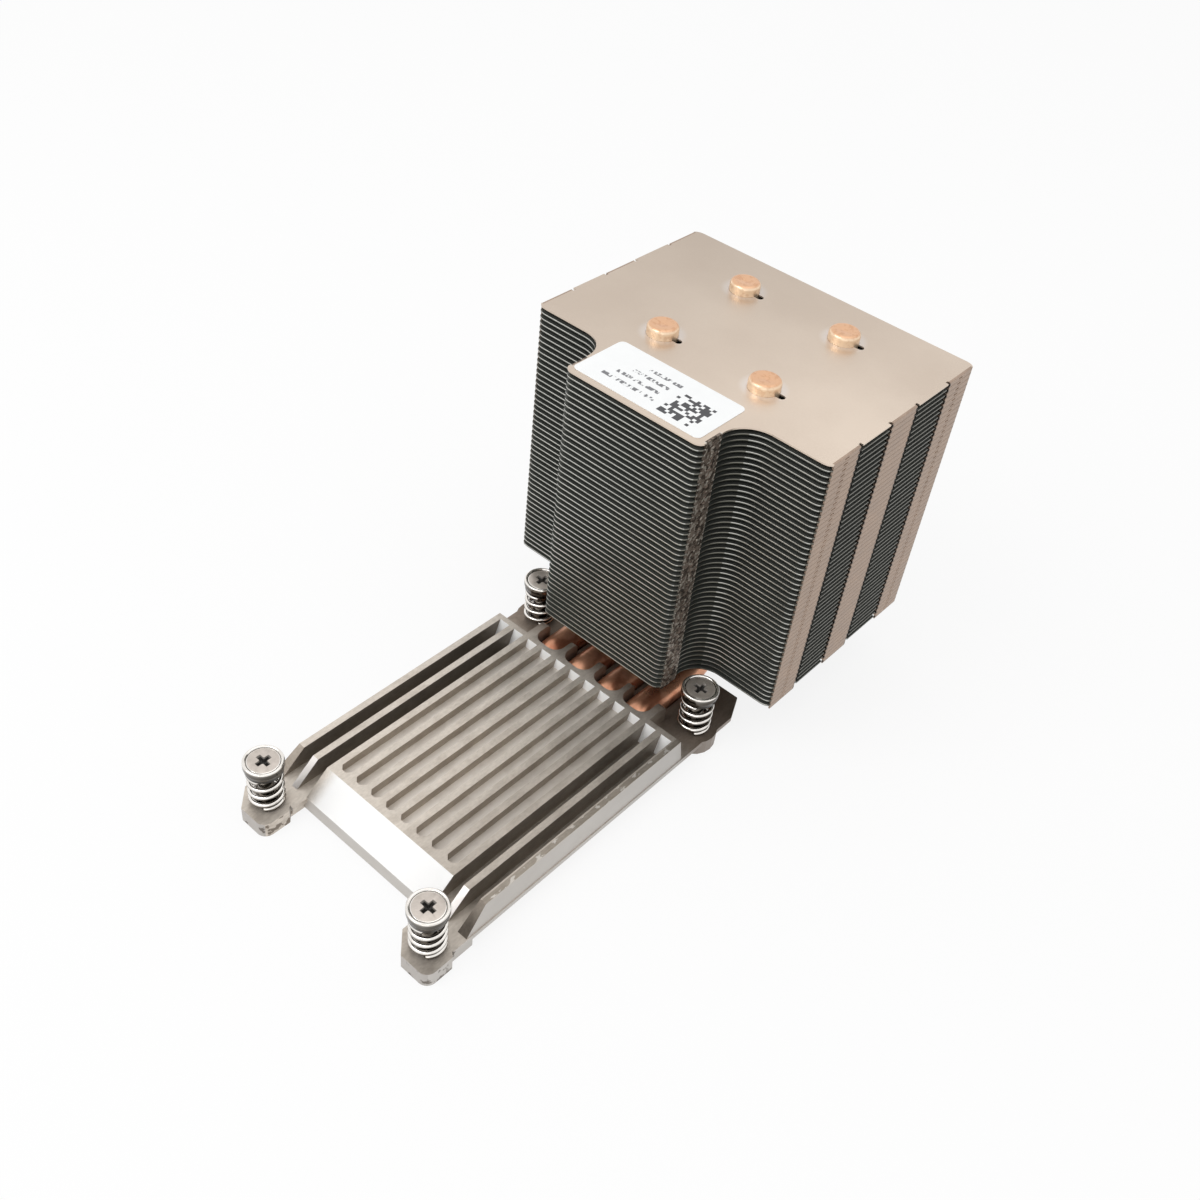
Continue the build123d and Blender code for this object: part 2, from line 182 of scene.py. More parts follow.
def arc(cx: float, cy: float, rx: float, ry: float, start: float, end: float, steps: int) -> Array:
    """Sample an arc of an ellipse, (cx + rx cos a, cy + ry sin a), from start to end in degrees."""
    a = np.radians(np.linspace(start, end, steps + 1))
    return np.stack([cx + rx * np.cos(a), cy + ry * np.sin(a)], axis=-1)


def revolve(
    name: str,
    profile: Array,
    steps: int = 96,
    radius: Callable[[Array], Array] | None = None,
    closed: bool = False,
) -> Mesh:
    """Turn a profile about the Z axis: point (r, z) becomes the ring (r cos a, r sin a, z).

    Args:
        name: Name of the mesh.
        profile: Points (r, z) in millimetres, of shape (n, 2), ending on the axis or closed.
        steps: Number of steps round the axis.
        radius: Optional radii in millimetres as a function of the angles, of shape (n, steps).
        closed: Whether the profile's last point joins its first.

    Returns:
        A welded mesh in metres.
    """
    angle = ring_angles(steps)
    r = profile[:, :1] * np.ones((1, steps)) if radius is None else radius(angle)
    grid = np.stack([r * np.cos(angle), r * np.sin(angle), profile[:, 1:] * np.ones((1, steps))], axis=-1)
    return weld(grid_mesh(name, grid, closed, True))


def tube(name: str, path: Array, radii: Array, sides: int, up: Array) -> Mesh:
    """Sweep a round or flat-sided section along a path.

    With half widths p and q, ring i is path[i] + (max(p - q, 0) sgn(cos a) + min(p, q) cos a) n_i
    + q sin a b_i. Here n_i is square to the path's tangent t_i and to the given up direction, b_i
    is n_i x t_i, and a runs from half a step on round a full turn.

    Args:
        name: Name of the mesh.
        path: Points in millimetres, of shape (n, 3).
        radii: Half widths p and q in millimetres, of shape (n, 2).
        sides: Number of points round the section.
        up: Direction that b leans to, never along the path.

    Returns:
        A welded mesh in metres.
    """
    tangent = np.gradient(path, axis=0)
    tangent /= np.linalg.norm(tangent, axis=1, keepdims=True)
    across = np.cross(tangent, np.broadcast_to(up, path.shape))
    across /= np.linalg.norm(across, axis=1, keepdims=True)
    above = np.cross(across, tangent)
    angle = ring_angles(sides)
    half, high = radii[:, :1], radii[:, 1:]
    wide = np.maximum(half - high, 0.0) * np.sign(np.cos(angle)) + np.minimum(half, high) * np.cos(angle)
    tall = high * np.sin(angle)
    grid = path[:, None] + wide[..., None] * across[:, None] + tall[..., None] * above[:, None]
    return weld(grid_mesh(name, grid, False, True))


def plate(name: str, outline: Array, holes: list[Array], top: float, thick: float) -> Mesh:
    """Fill a plan outline with holes and give it a thickness, through a filled 2D curve.

    Args:
        name: Name of the mesh.
        outline: Plan points in millimetres, of shape (n, 2).
        holes: Plans of the holes, each of shape (m, 2).
        top: Height of the upper face in millimetres.
        thick: Thickness in millimetres.

    Returns:
        A mesh in metres.
    """
    curve = bpy.data.curves.new(name, "CURVE")
    curve.dimensions = "2D"
    curve.fill_mode = "BOTH"
    curve.extrude = thick / 2 * MM
    for plan in [outline, *holes]:
        spline = curve.splines.new("POLY")
        spline.points.add(len(plan) - 1)
        spline.use_cyclic_u = True
        flat = np.zeros((len(plan), 4), np.float32)
        flat[:, :2] = plan * MM
        flat[:, 3] = 1.0
        spline.points.foreach_set("co", flat.ravel())
    holder = bpy.data.objects.new(name, curve)
    bpy.context.scene.collection.objects.link(holder)
    depsgraph = bpy.context.evaluated_depsgraph_get()
    mesh = bpy.data.meshes.new_from_object(holder.evaluated_get(depsgraph))
    bpy.data.objects.remove(holder)
    mesh.name = name
    mesh.transform(Matrix.Translation((0.0, 0.0, (top - thick / 2) * MM)))
    return weld(mesh, CLOSE_WELD)


def joined(name: str, meshes: list[Mesh]) -> Mesh:
    """Put several meshes into one.

    Args:
        name: Name of the new mesh.
        meshes: Meshes in metres. They are removed.

    Returns:
        The new mesh.
    """
    work = bmesh.new()
    for mesh in meshes:
        work.from_mesh(mesh)
    whole = bpy.data.meshes.new(name)
    work.to_mesh(whole)
    work.free()
    for mesh in meshes:
        bpy.data.meshes.remove(mesh)
    return whole


# Pieces


def mesh_object(name: str, mesh: Mesh, *materials: Material) -> Object:
    """Link a mesh into the scene as an object at the origin, smooth but for its sharp edges.

    Args:
        name: Name of the new object.
        mesh: Mesh in metres, in the part frame.
        materials: Its materials, in order.

    Returns:
        The new object.
    """
    mesh.shade_smooth()
    mesh.set_sharp_from_angle(angle=math.radians(SHARP_DEGREES))
    for material in materials:
        mesh.materials.append(material)
    piece = bpy.data.objects.new(name, mesh)
    bpy.context.scene.collection.objects.link(piece)
    return piece


def dress(piece: Object, body: str, slot: str, *nodes: str) -> None:
    """Tie a piece to its body and the CAD nodes that it stands for, and log it.

    Args:
        piece: The piece.
        body: Body that carries it.
        slot: Not used.
        nodes: Nodes that it stands for.
    """
    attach(piece, body)
    if nodes:
        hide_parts(*nodes)
    LOG.info("%s: %d faces", piece.name, len(piece.data.polygons))


def repeat(piece: Object, count: int) -> None:
    """Repeat a piece down the fin stack with an array modifier.

    Args:
        piece: The piece.
        count: Number of copies, the piece itself included.
    """
    array = piece.modifiers.new("fins", "ARRAY")
    array.count = count
    array.use_relative_offset = False
    array.use_constant_offset = True
    array.constant_offset_displace = (0.0, 0.0, -FIN_PITCH * MM)


def paint(piece: Object, material: Material) -> None:
    """Give a CAD node one material."""
    piece.data.materials.clear()
    piece.data.materials.append(material)


def soften_edges(piece: Object, width: float) -> None:
    """Round the sharp edges of a CAD node a little with a bevel modifier.

    Args:
        piece: The node.
        width: Width of the bevel in millimetres.
    """
    bevel = piece.modifiers.new("soft_edges", "BEVEL")
    bevel.width = width * MM
    bevel.segments = 2
    bevel.limit_method = "ANGLE"
    bevel.angle_limit = math.radians(BEVEL_DEGREES)
    bevel.harden_normals = False


# Finishes


@dataclass(frozen=True)
class Finish:
    """A procedural finish on object coordinates.

    Attributes:
        name: Name of the material.
        light: Colour of the lighter patches, linear.
        dark: Colour of the darker patches, linear.
        metallic: Metallic value.
        roughness: Lowest and highest roughness.
        scale: Size of the colour noise, per metre.
        stretch: Stretch of the grain along each axis.
        grain: Size of the fine grain, per metre.
        bump: Height of the grain in metres.
        blend: Weight of the fine grain in the colour, from 0 to 1.
    """

    name: str
    light: Colour
    dark: Colour
    metallic: float
    roughness: Pair
    scale: float = 60.0
    stretch: Triple = (1.0, 1.0, 1.0)
    grain: float = 2500.0
    bump: float = 0.00002
    blend: float = 0.3


class Surface(Enum):
    """The finishes of the heatsink's pieces."""

    CASTING = Finish(
        name="die_cast_metal",
        light=(0.74, 0.670, 0.592),
        dark=(0.58, 0.522, 0.455),
        metallic=0.75,
        roughness=(0.40, 0.55),
        scale=200.0,
        stretch=(1.0, 0.45, 1.0),
        grain=1900.0,
        bump=0.00006,
        blend=0.5,
    )
    TOP_SHEET = Finish(
        name="plated_top_sheet",
        light=(0.775, 0.660, 0.553),
        dark=(0.71, 0.594, 0.492),
        metallic=0.9,
        roughness=(0.30, 0.40),
        scale=35.0,
        grain=1800.0,
        bump=0.000004,
        blend=0.15,
    )
    FINS = Finish(
        name="plated_fin_edges",
        light=(0.78, 0.77, 0.72),
        dark=(0.60, 0.60, 0.56),
        metallic=0.85,
        roughness=(0.30, 0.42),
        scale=120.0,
        grain=1800.0,
        bump=0.000004,
    )
    STRIPS = Finish(
        name="folded_tab_sheet",
        light=(0.455, 0.342, 0.266),
        dark=(0.345, 0.254, 0.195),
        metallic=0.8,
        roughness=(0.36, 0.48),
        scale=160.0,
        stretch=(1.0, 1.0, 1.6),
        grain=1600.0,
        bump=0.000010,
        blend=0.4,
    )
    COPPER = Finish(
        name="bare_copper",
        light=(0.93, 0.58, 0.38),
        dark=(0.80, 0.46, 0.28),
        metallic=1.0,
        roughness=(0.24, 0.38),
        scale=110.0,
        grain=1500.0,
        bump=0.000012,
    )
    NICKEL = Finish(
        name="bright_nickel",
        light=(0.92, 0.885, 0.84),
        dark=(0.80, 0.765, 0.72),
        metallic=1.0,
        roughness=(0.10, 0.18),
        scale=140.0,
        grain=2600.0,
        bump=0.000003,
        blend=0.15,
    )
    SCREW_FACE = Finish(
        name="worn_screw_face",
        light=(0.65, 0.585, 0.53),
        dark=(0.54, 0.485, 0.435),
        metallic=0.8,
        roughness=(0.30, 0.42),
        scale=500.0,
    )
    # Painted shade: a near-black finish inside the cross recess of the screws.
    RECESS = Finish(
        name="recess_painted_shade",
        light=(0.060, 0.055, 0.050),
        dark=(0.030, 0.027, 0.025),
        metallic=0.5,
        roughness=(0.5, 0.6),
    )
    PAPER = Finish(
        name="label_paper",
        light=(0.93, 0.94, 0.94),
        dark=(0.91, 0.92, 0.92),
        metallic=0.0,
        roughness=(0.55, 0.65),
        scale=300.0,
        grain=3000.0,
        bump=0.000004,
    )


@dataclass(frozen=True)
class Patch:
    """A place on a finish with its own tone. Ends are low, high and, where given, their softness.

    Attributes:
        x: Ends along X in millimetres, or None for all of it.
        y: Ends along Y.
        z: Ends along Z.
        depth: Ends of the depth below the top of each fin.
        mirrored: Whether the ends along X hold on both sides of the middle.
        tone: Colour, linear.
        covers: Whether the tone covers the colour below, which it otherwise multiplies.
        metallic: Metallic value, where the patch has its own.
    """

    x: Span | None = None
    y: Span | None = None
    z: Span | None = None
    depth: Span | None = None
    mirrored: bool = False
    tone: Colour = (1.0, 1.0, 1.0)
    covers: bool = False
    metallic: float | None = None


class CastingPatch(Enum):
    """Places on the casting."""

    SMUDGES = Patch(tone=(0.90, 0.89, 0.88))
    # Painted shade: the upright walls of the channels, darker still on the left of the deep ones.
    SHADED_CHANNEL_WALLS = Patch((-20.9, 20.9), (-41.0, 35.0), (7.55, 9.95), tone=(0.66, 0.64, 0.62))
    DEEP_WALLS = Patch((21.1, 31.6), (-41.0, 35.0), (4.45, 9.95), mirrored=True, tone=(0.68, 0.67, 0.66))
    SHADED_LEFT_DEEP_WALLS = Patch((-40.0, 0.0), tone=(0.62, 0.61, 0.60))
    # Painted shade: the floors of the deep channels are darker.
    SHADED_DEEP_FLOORS = Patch((21.9, 30.6), (-34.0, 34.0, 2.5), (4.0, 4.6), mirrored=True, tone=(0.62, 0.61, 0.60))
    # Painted light: the channel floors are lightened against the shade that they lie in.
    LIGHTENED_CHANNEL_FLOORS = Patch(
        (-21.0, 21.0), (-32.0, 33.0), (7.2, 7.8), tone=(0.83, 0.77, 0.70), covers=True, metallic=0.5
    )
    SMUDGED_FLOORS = Patch(tone=(0.91, 0.90, 0.89))
    # Painted shade: the right side of the casting is darker.
    SHADED_RIGHT_SIDE = Patch((10.0, 40.0, 9.0), tone=(0.79, 0.785, 0.78))
    CREST = Patch((30.9, 33.0), z=(9.9, 10.1), tone=(0.66, 0.645, 0.62))
    CREST_CHIPS = Patch(tone=(0.62, 0.58, 0.53), covers=True)
    OUTER_WALLS = Patch(
        (31.9, 40.0), z=(-1.0, 9.9), mirrored=True, tone=(0.58, 0.55, 0.515), covers=True, metallic=0.55
    )
    FRONT_ENDS = Patch(
        y=(-60.0, -39.0), z=(-1.0, 4.39, 0.01), tone=(0.58, 0.55, 0.515), covers=True, metallic=0.55
    )
    BOSS_DENTS = Patch(y=(-60.0, -44.0), z=(-1.0, 4.2), tone=(0.36, 0.33, 0.30))
    BOSS_ENDS = Patch(y=(-60.0, -46.0), tone=(0.86, 0.85, 0.85))
    # Painted shadow: the casting darkens under the fin stack.
    FIN_STACK_SHADOW = Patch(y=(37.5, 80.0, 5.0), tone=(0.55, 0.49, 0.45))
    # Painted shade: the ribs darken towards the fin stack.
    SHADED_REAR_RIBS = Patch(y=(15.0, 80.0, 18.0), tone=(0.93, 0.94, 0.95))
    # Painted highlights on the slopes that look forward, with painted shade on the outer rib ends.
    HIGHLIT_RAMP = Patch(
        (-19.5, 23.0, 2.5), (-40.6, -33.3), tone=(0.96, 0.955, 0.945), covers=True, metallic=0.0
    )
    HIGHLIT_REAR_ENDS = Patch(y=(31.0, 34.0), tone=(0.96, 0.955, 0.945), covers=True, metallic=0.0)
    HIGHLIT_INNER_RIB_ENDS = Patch((25.0, 29.0), (-40.6, -33.3), mirrored=True, tone=(0.80, 0.76, 0.73), covers=True)
    SHADED_OUTER_RIB_ENDS = Patch((29.5, 33.6), (-40.6, -33.3), mirrored=True, tone=(0.5, 0.48, 0.46))


class StackPatch(Enum):
    """Places on the fin stack, its tabs and its top sheet."""

    # Painted shade: the top sheet darkens towards the left and the rear.
    SHADED_SHEET_LEFT = Patch((-90.0, 0.0, 40.0), tone=(0.84, 0.838, 0.835))
    SHADED_SHEET_REAR = Patch(y=(92.0, 200.0, 40.0), tone=(0.86, 0.855, 0.85))
    # Painted reflection of the pipe ends, pale round each pipe hole.
    REFLECTED_PIPE_RINGS = Patch(tone=(0.86, 0.84, 0.84), covers=True, metallic=0.35)
    # Painted shade: the lower half of each fin edge, the side edges and the flat faces between the fins.
    SHADED_LOWER_EDGES = Patch(depth=(0.19, 0.6), tone=(0.22, 0.225, 0.21))
    SHADED_SIDE_EDGES = Patch(tone=(0.36, 0.35, 0.32))
    SHADED_FLAT_FACES = Patch(tone=(0.105, 0.110, 0.100), covers=True, metallic=0.3)
    SEAMS = Patch(depth=(1.36, 1.6), tone=(0.62, 0.60, 0.58))
    LOCK_MARKS = Patch(depth=(0.62, 1.0), tone=(0.45, 0.42, 0.40))
    # Painted shade: the ends of each tab are dark where the gaps between the tabs lie.
    SHADED_TAB_ENDS = Patch(depth=(0.5, 1.3), tone=(0.10, 0.095, 0.09))
    NARROW_TABS = Patch((-21.0, 21.0), tone=(0.62, 0.66, 0.70))
    NARROW_SCUFFS = Patch(tone=(0.34, 0.32, 0.30))
    NARROW_CHIPS = Patch(tone=(0.50, 0.45, 0.39), covers=True)
    NARROW_RIMS = Patch(depth=(-0.1, 0.45), tone=(0.66, 0.61, 0.54), covers=True)


class SmallPatch(Enum):
    """Places on the pipes, the screws with their cups and springs, and the label."""

    # Painted shade: the copper is darker low down in the base.
    SHADED_LOW_COPPER = Patch(z=(-5.0, 20.0, 4.0), tone=(0.86, 0.72, 0.70), metallic=0.82)
    BROWNED_COPPER = Patch(tone=(0.66, 0.52, 0.48))
    CAPS = Patch(z=(92.0, 99.0), tone=(0.95, 0.73, 0.52), covers=True, metallic=0.6)
    CAP_TOPS = Patch(tone=(0.76, 0.455, 0.275), covers=True)
    CAP_MARKS = Patch(tone=(0.90, 0.84, 0.80))
    # Painted shade on the nickel: darker where it looks down, on the sides that look right and at the foot
    # of the cups' skirts.
    SHADED_UNDERSIDES = Patch(tone=(0.13, 0.12, 0.11))
    SHADED_SIDES = Patch(tone=(0.50, 0.48, 0.45))
    SHADED_CUP_SKIRTS = Patch(z=(15.0, 16.0, 0.2), tone=(0.34, 0.32, 0.30))
    # Painted shade inside the cross recess, lighter near its rim.
    SHADED_RECESS_RIM = Patch(z=(17.75, 19.0, 0.15), tone=(0.24, 0.22, 0.20), covers=True)
    PRINT = Patch(tone=(0.20, 0.20, 0.21), covers=True)
    PRINT_BLOCK = Patch((4.5, 14.4, 0.02), (42.3, 52.2, 0.02), tone=(0.07, 0.07, 0.075), covers=True)


@dataclass(frozen=True)
class Speckle:
    """A noise that is cut to patches.

    Attributes:
        scale: Size of the noise, per metre.
        start: Value of the noise where the mask starts to rise from 0.
        stop: Value of the noise where the mask reaches 1.
        stretch: Stretch along each axis.
    """

    scale: float
    start: float
    stop: float
    stretch: Triple = (1.0, 1.0, 1.0)


class Wear(Enum):
    """The noises of the marks that use has left, and of the print."""

    SMUDGES = Speckle(330.0, 0.46, 0.62, (1.0, 0.5, 1.0))
    CREST_CHIPS = Speckle(700.0, 0.58, 0.64, (1.0, 0.5, 1.0))
    BOSS_DENTS = Speckle(420.0, 0.55, 0.61)
    TAB_SCUFFS = Speckle(650.0, 0.50, 0.44)
    TAB_CHIPS = Speckle(900.0, 0.55, 0.60)
    BROWNING = Speckle(140.0, 0.48, 0.62)
    CAP_MARKS = Speckle(900.0, 0.50, 0.62)
    PRINT = Speckle(1300.0, 0.47, 0.52, (1.0, 0.5, 1.0))


def add_node(
    tree: NodeTree,
    kind: str,
    inputs: dict[str | int, Any] | None = None,
    **settings: Any,
) -> Node:
    """Add a node to a tree and fill its inputs.

    Args:
        tree: The node tree.
        kind: Type of the node.
        inputs: Value or output socket for each input, by name or number.
        settings: Values of the node's properties.

    Returns:
        The node.
    """
    node = tree.nodes.new(kind)
    for name, value in settings.items():
        setattr(node, name, value)
    for name, value in (inputs or {}).items():
        if isinstance(value, NodeSocket):
            tree.links.new(value, node.inputs[name])
        else:
            node.inputs[name].default_value = value
    return node


def finish_material(finish: Finish) -> Material:
    """Build the node material of a finish.

    Two noises on object coordinates mix the two colours and set the roughness, and a fine grain
    gives the bump.

    Args:
        finish: The finish.

    Returns:
        The material.
    """
    material = bpy.data.materials.new(finish.name)
    material.use_nodes = True
    tree = material.node_tree
    shader = tree.nodes["Principled BSDF"]
    shader.inputs["Metallic"].default_value = finish.metallic
    place = add_node(tree, "ShaderNodeTexCoord").outputs["Object"]
    spread = add_node(tree, "ShaderNodeMapping", {"Scale": finish.stretch, "Vector": place})
    course = spread.outputs["Vector"]
    coarse = {"Scale": finish.scale, "Detail": COARSE_DETAIL, "Vector": course}
    patches = add_node(tree, "ShaderNodeTexNoise", coarse).outputs["Fac"]
    fine = {"Scale": finish.grain, "Detail": FINE_DETAIL, "Vector": course}
    grain = add_node(tree, "ShaderNodeTexNoise", fine).outputs["Fac"]
    both = add_node(tree, "ShaderNodeMix", {"Factor": finish.blend, "A": patches, "B": grain})
    ramp = add_node(tree, "ShaderNodeValToRGB", {"Fac": both.outputs["Result"]})
    colours = (finish.dark, finish.light)
    for stop, position, colour in zip(ramp.color_ramp.elements, COLOUR_STOPS, colours):
        stop.position = position
        stop.color = (*colour, 1.0)
    (start, end), (low, high) = NOISE_RANGE, finish.roughness
    levels = {"From Min": start, "From Max": end, "To Min": low, "To Max": high, "Value": patches}
    rough = add_node(tree, "ShaderNodeMapRange", levels)
    relief = {"Strength": BUMP_STRENGTH, "Distance": finish.bump, "Height": grain}
    bump = add_node(tree, "ShaderNodeBump", relief)
    tree.links.new(ramp.outputs["Color"], shader.inputs["Base Color"])
    tree.links.new(rough.outputs["Result"], shader.inputs["Roughness"])
    tree.links.new(bump.outputs["Normal"], shader.inputs["Normal"])
    return material


class Tones:
    """The material of a finish, with tones laid over its base colour through masks.

    Every mask is a value socket, 1 where the tone lies and 0 elsewhere. Places are given in
    millimetres in the part frame, and facings as the normal's share along an axis.
    """

    MIX_BELOW = 6
    MIX_ABOVE = 7
    MIX_RESULT = 2
    FACING_SHARE = 0.6

    def __init__(self, finish: Finish) -> None:
        """Build the material, and the sockets of place and facing that its masks read.

        Args:
            finish: The finish.
        """
        self.material = finish_material(finish)
        self.tree = self.material.node_tree
        self.shader = self.tree.nodes["Principled BSDF"]
        self.source = self.node("ShaderNodeTexCoord").outputs["Object"]
        self.place = self.node("ShaderNodeSeparateXYZ", {"Vector": self.source})
        normals = self.node("ShaderNodeNewGeometry").outputs
        self.facing = self.node("ShaderNodeSeparateXYZ", {"Vector": normals["True Normal"]})
        self.leaning = self.node("ShaderNodeSeparateXYZ", {"Vector": normals["Normal"]})

    def node(self, kind: str, inputs: dict[str | int, Any] | None = None, **settings: Any) -> Node:
        """Add a node to the material."""
        return add_node(self.tree, kind, inputs, **settings)

    def math(self, operation: str, first: Any, second: Any, clamp: bool = True) -> Any:
        """Join two sockets or numbers with a math node."""
        node = self.node("ShaderNodeMath", {0: first, 1: second}, operation=operation, use_clamp=clamp)
        return node.outputs[0]

    def all_of(self, *masks: Any) -> Any:
        """Give the product of several masks."""
        return functools.reduce(functools.partial(self.math, "MULTIPLY"), masks)

    def any_of(self, *masks: Any) -> Any:
        """Give the sum of several masks, 1 at most."""
        return functools.reduce(functools.partial(self.math, "ADD"), masks)

    def rise(self, value: Any, start: float, stop: float) -> Any:
        """Rise smoothly from 0 to 1 as a value goes from start to stop, which may lie below start."""
        ends = {"Value": value, "From Min": start, "From Max": stop}
        return self.node("ShaderNodeMapRange", ends, interpolation_type="SMOOTHSTEP").outputs["Result"]

    def between(self, value: Any, low: float, high: float, soft: float) -> Any:
        """Give 1 where a value in metres lies between two places in millimetres, with soft ends."""
        start = self.rise(value, (low - soft) * MM, (low + soft) * MM)
        return self.all_of(start, self.rise(value, (high + soft) * MM, (high - soft) * MM))

    def span(self, axis: str, low: float, high: float, soft: float = 0.1) -> Any:
        """Give 1 where a coordinate lies between two values."""
        return self.between(self.place.outputs[axis], low, high, soft)

    def spans(self, axis: str, ends: tuple[Span, ...]) -> Any:
        """Give 1 where a coordinate lies in any of several spans."""
        return self.any_of(*[self.span(axis, *pair) for pair in ends])

    def sides(self, low: float, high: float, soft: float = 0.1) -> Any:
        """Give 1 where the distance from the middle along X lies between two values."""
        return self.any_of(self.span("X", low, high, soft), self.span("X", -high, -low, soft))

    def layers(self, low: float, high: float, soft: float = 0.03) -> Any:
        """Give 1 where the depth below the top of each fin lies between two values."""
        depth = self.math("SUBTRACT", FIN_TOP * MM, self.place.outputs["Z"], clamp=False)
        return self.between(self.math("MODULO", depth, FIN_PITCH * MM, clamp=False), low, high, soft)

    def around(self, x: float, y: float, near: float, far: float) -> Any:
        """Fall from 1 to 0 as the distance from an upright line goes from near to far.

        Args:
            x: Place of the line along X.
            y: Place of the line along Y.
            near: Distance where the fall starts.
            far: Distance where it ends.

        Returns:
            The mask.
        """
        plan = self.node("ShaderNodeCombineXYZ", {axis: self.place.outputs[axis] for axis in "XY"})
        points = {0: plan.outputs["Vector"], 1: (x * MM, y * MM, 0.0)}
        gap = self.node("ShaderNodeVectorMath", points, operation="DISTANCE")
        return self.rise(gap.outputs["Value"], far * MM, near * MM)

    def speckle(self, wear: Wear) -> Any:
        """Give the mask of a noise that is cut to patches.

        Args:
            wear: The noise.

        Returns:
            The mask.
        """
        noise = wear.value
        spread = self.node("ShaderNodeMapping", {"Scale": noise.stretch, "Vector": self.source})
        inputs = {"Scale": noise.scale, "Detail": FINE_DETAIL, "Vector": spread.outputs["Vector"]}
        return self.rise(self.node("ShaderNodeTexNoise", inputs).outputs["Fac"], noise.start, noise.stop)

    def cells(self, size: float, share: float) -> Any:
        """Give 1 in a random share of the small squares of a given size.

        Args:
            size: Side of a square in millimetres.
            share: Share of the squares, from 0 to 1.

        Returns:
            The mask.
        """
        squares = {0: self.source, 1: (size * MM, size * MM, 1.0)}
        snap = self.node("ShaderNodeVectorMath", squares, operation="SNAP")
        chance = self.node("ShaderNodeTexWhiteNoise", {"Vector": snap.outputs["Vector"]})
        return self.math("LESS_THAN", chance.outputs["Value"], share)

    def looks(self, axis: str, over: float) -> Any:
        """Give 1 where the face's normal passes a value along an axis, below it if negative."""
        operation = "GREATER_THAN" if over > 0 else "LESS_THAN"
        return self.math(operation, self.facing.outputs[axis], over)

    def leans(self, axis: str, start: float, stop: float) -> Any:
        """Rise from 0 to 1 as the smooth normal goes from start to stop along an axis."""
        return self.rise(self.leaning.outputs[axis], start, stop)

    def upright(self, axis: str) -> Any:
        """Give 1 on the faces that look either way along an axis."""
        return self.any_of(self.looks(axis, self.FACING_SHARE), self.looks(axis, -self.FACING_SHARE))

    def box(self, patch: Patch) -> list[Any]:
        """Give the masks of a patch's ends, one for each axis that it has.

        Args:
            patch: The patch.

        Returns:
            The masks.
        """
        masks = []
        if patch.x:
            masks.append(self.sides(*patch.x) if patch.mirrored else self.span("X", *patch.x))
        if patch.y:
            masks.append(self.span("Y", *patch.y))
        if patch.z:
            masks.append(self.span("Z", *patch.z))
        if patch.depth:
            masks.append(self.layers(*patch.depth))
        return masks

    def lay(self, place: Enum, *masks: Any) -> Any:
        """Lay a patch's tone, and its metallic value, where its ends and all the masks hold.

        Args:
            place: Member of a table of patches.
            masks: Further masks.

        Returns:
            The joint mask.
        """
        patch = place.value
        mask = self.all_of(*self.box(patch), *masks)
        self.tone(mask, patch.tone, "MIX" if patch.covers else "MULTIPLY")
        if patch.metallic is not None:
            self.level("Metallic", mask, patch.metallic)
        return mask

    def tone(self, mask: Any, colour: Colour, blend: str) -> None:
        """Lay a colour over the base colour through a mask.

        Args:
            mask: The mask.
            colour: The colour, linear.
            blend: How it is mixed with the colour below.
        """
        socket = self.shader.inputs["Base Color"]
        below = socket.links[0].from_socket
        inputs = {"Factor": mask, self.MIX_BELOW: below, self.MIX_ABOVE: (*colour, 1.0)}
        mix = self.node("ShaderNodeMix", inputs, data_type="RGBA", blend_type=blend)
        self.tree.links.new(mix.outputs[self.MIX_RESULT], socket)

    def level(self, name: str, mask: Any, value: float) -> None:
        """Lay a value over one of the shader's value sockets through a mask.

        Args:
            name: Name of the socket.
            mask: The mask.
            value: The value.
        """
        socket = self.shader.inputs[name]
        below = socket.links[0].from_socket if socket.is_linked else socket.default_value
        mix = self.node("ShaderNodeMix", {"Factor": mask, "A": below, "B": value})
        self.tree.links.new(mix.outputs["Result"], socket)


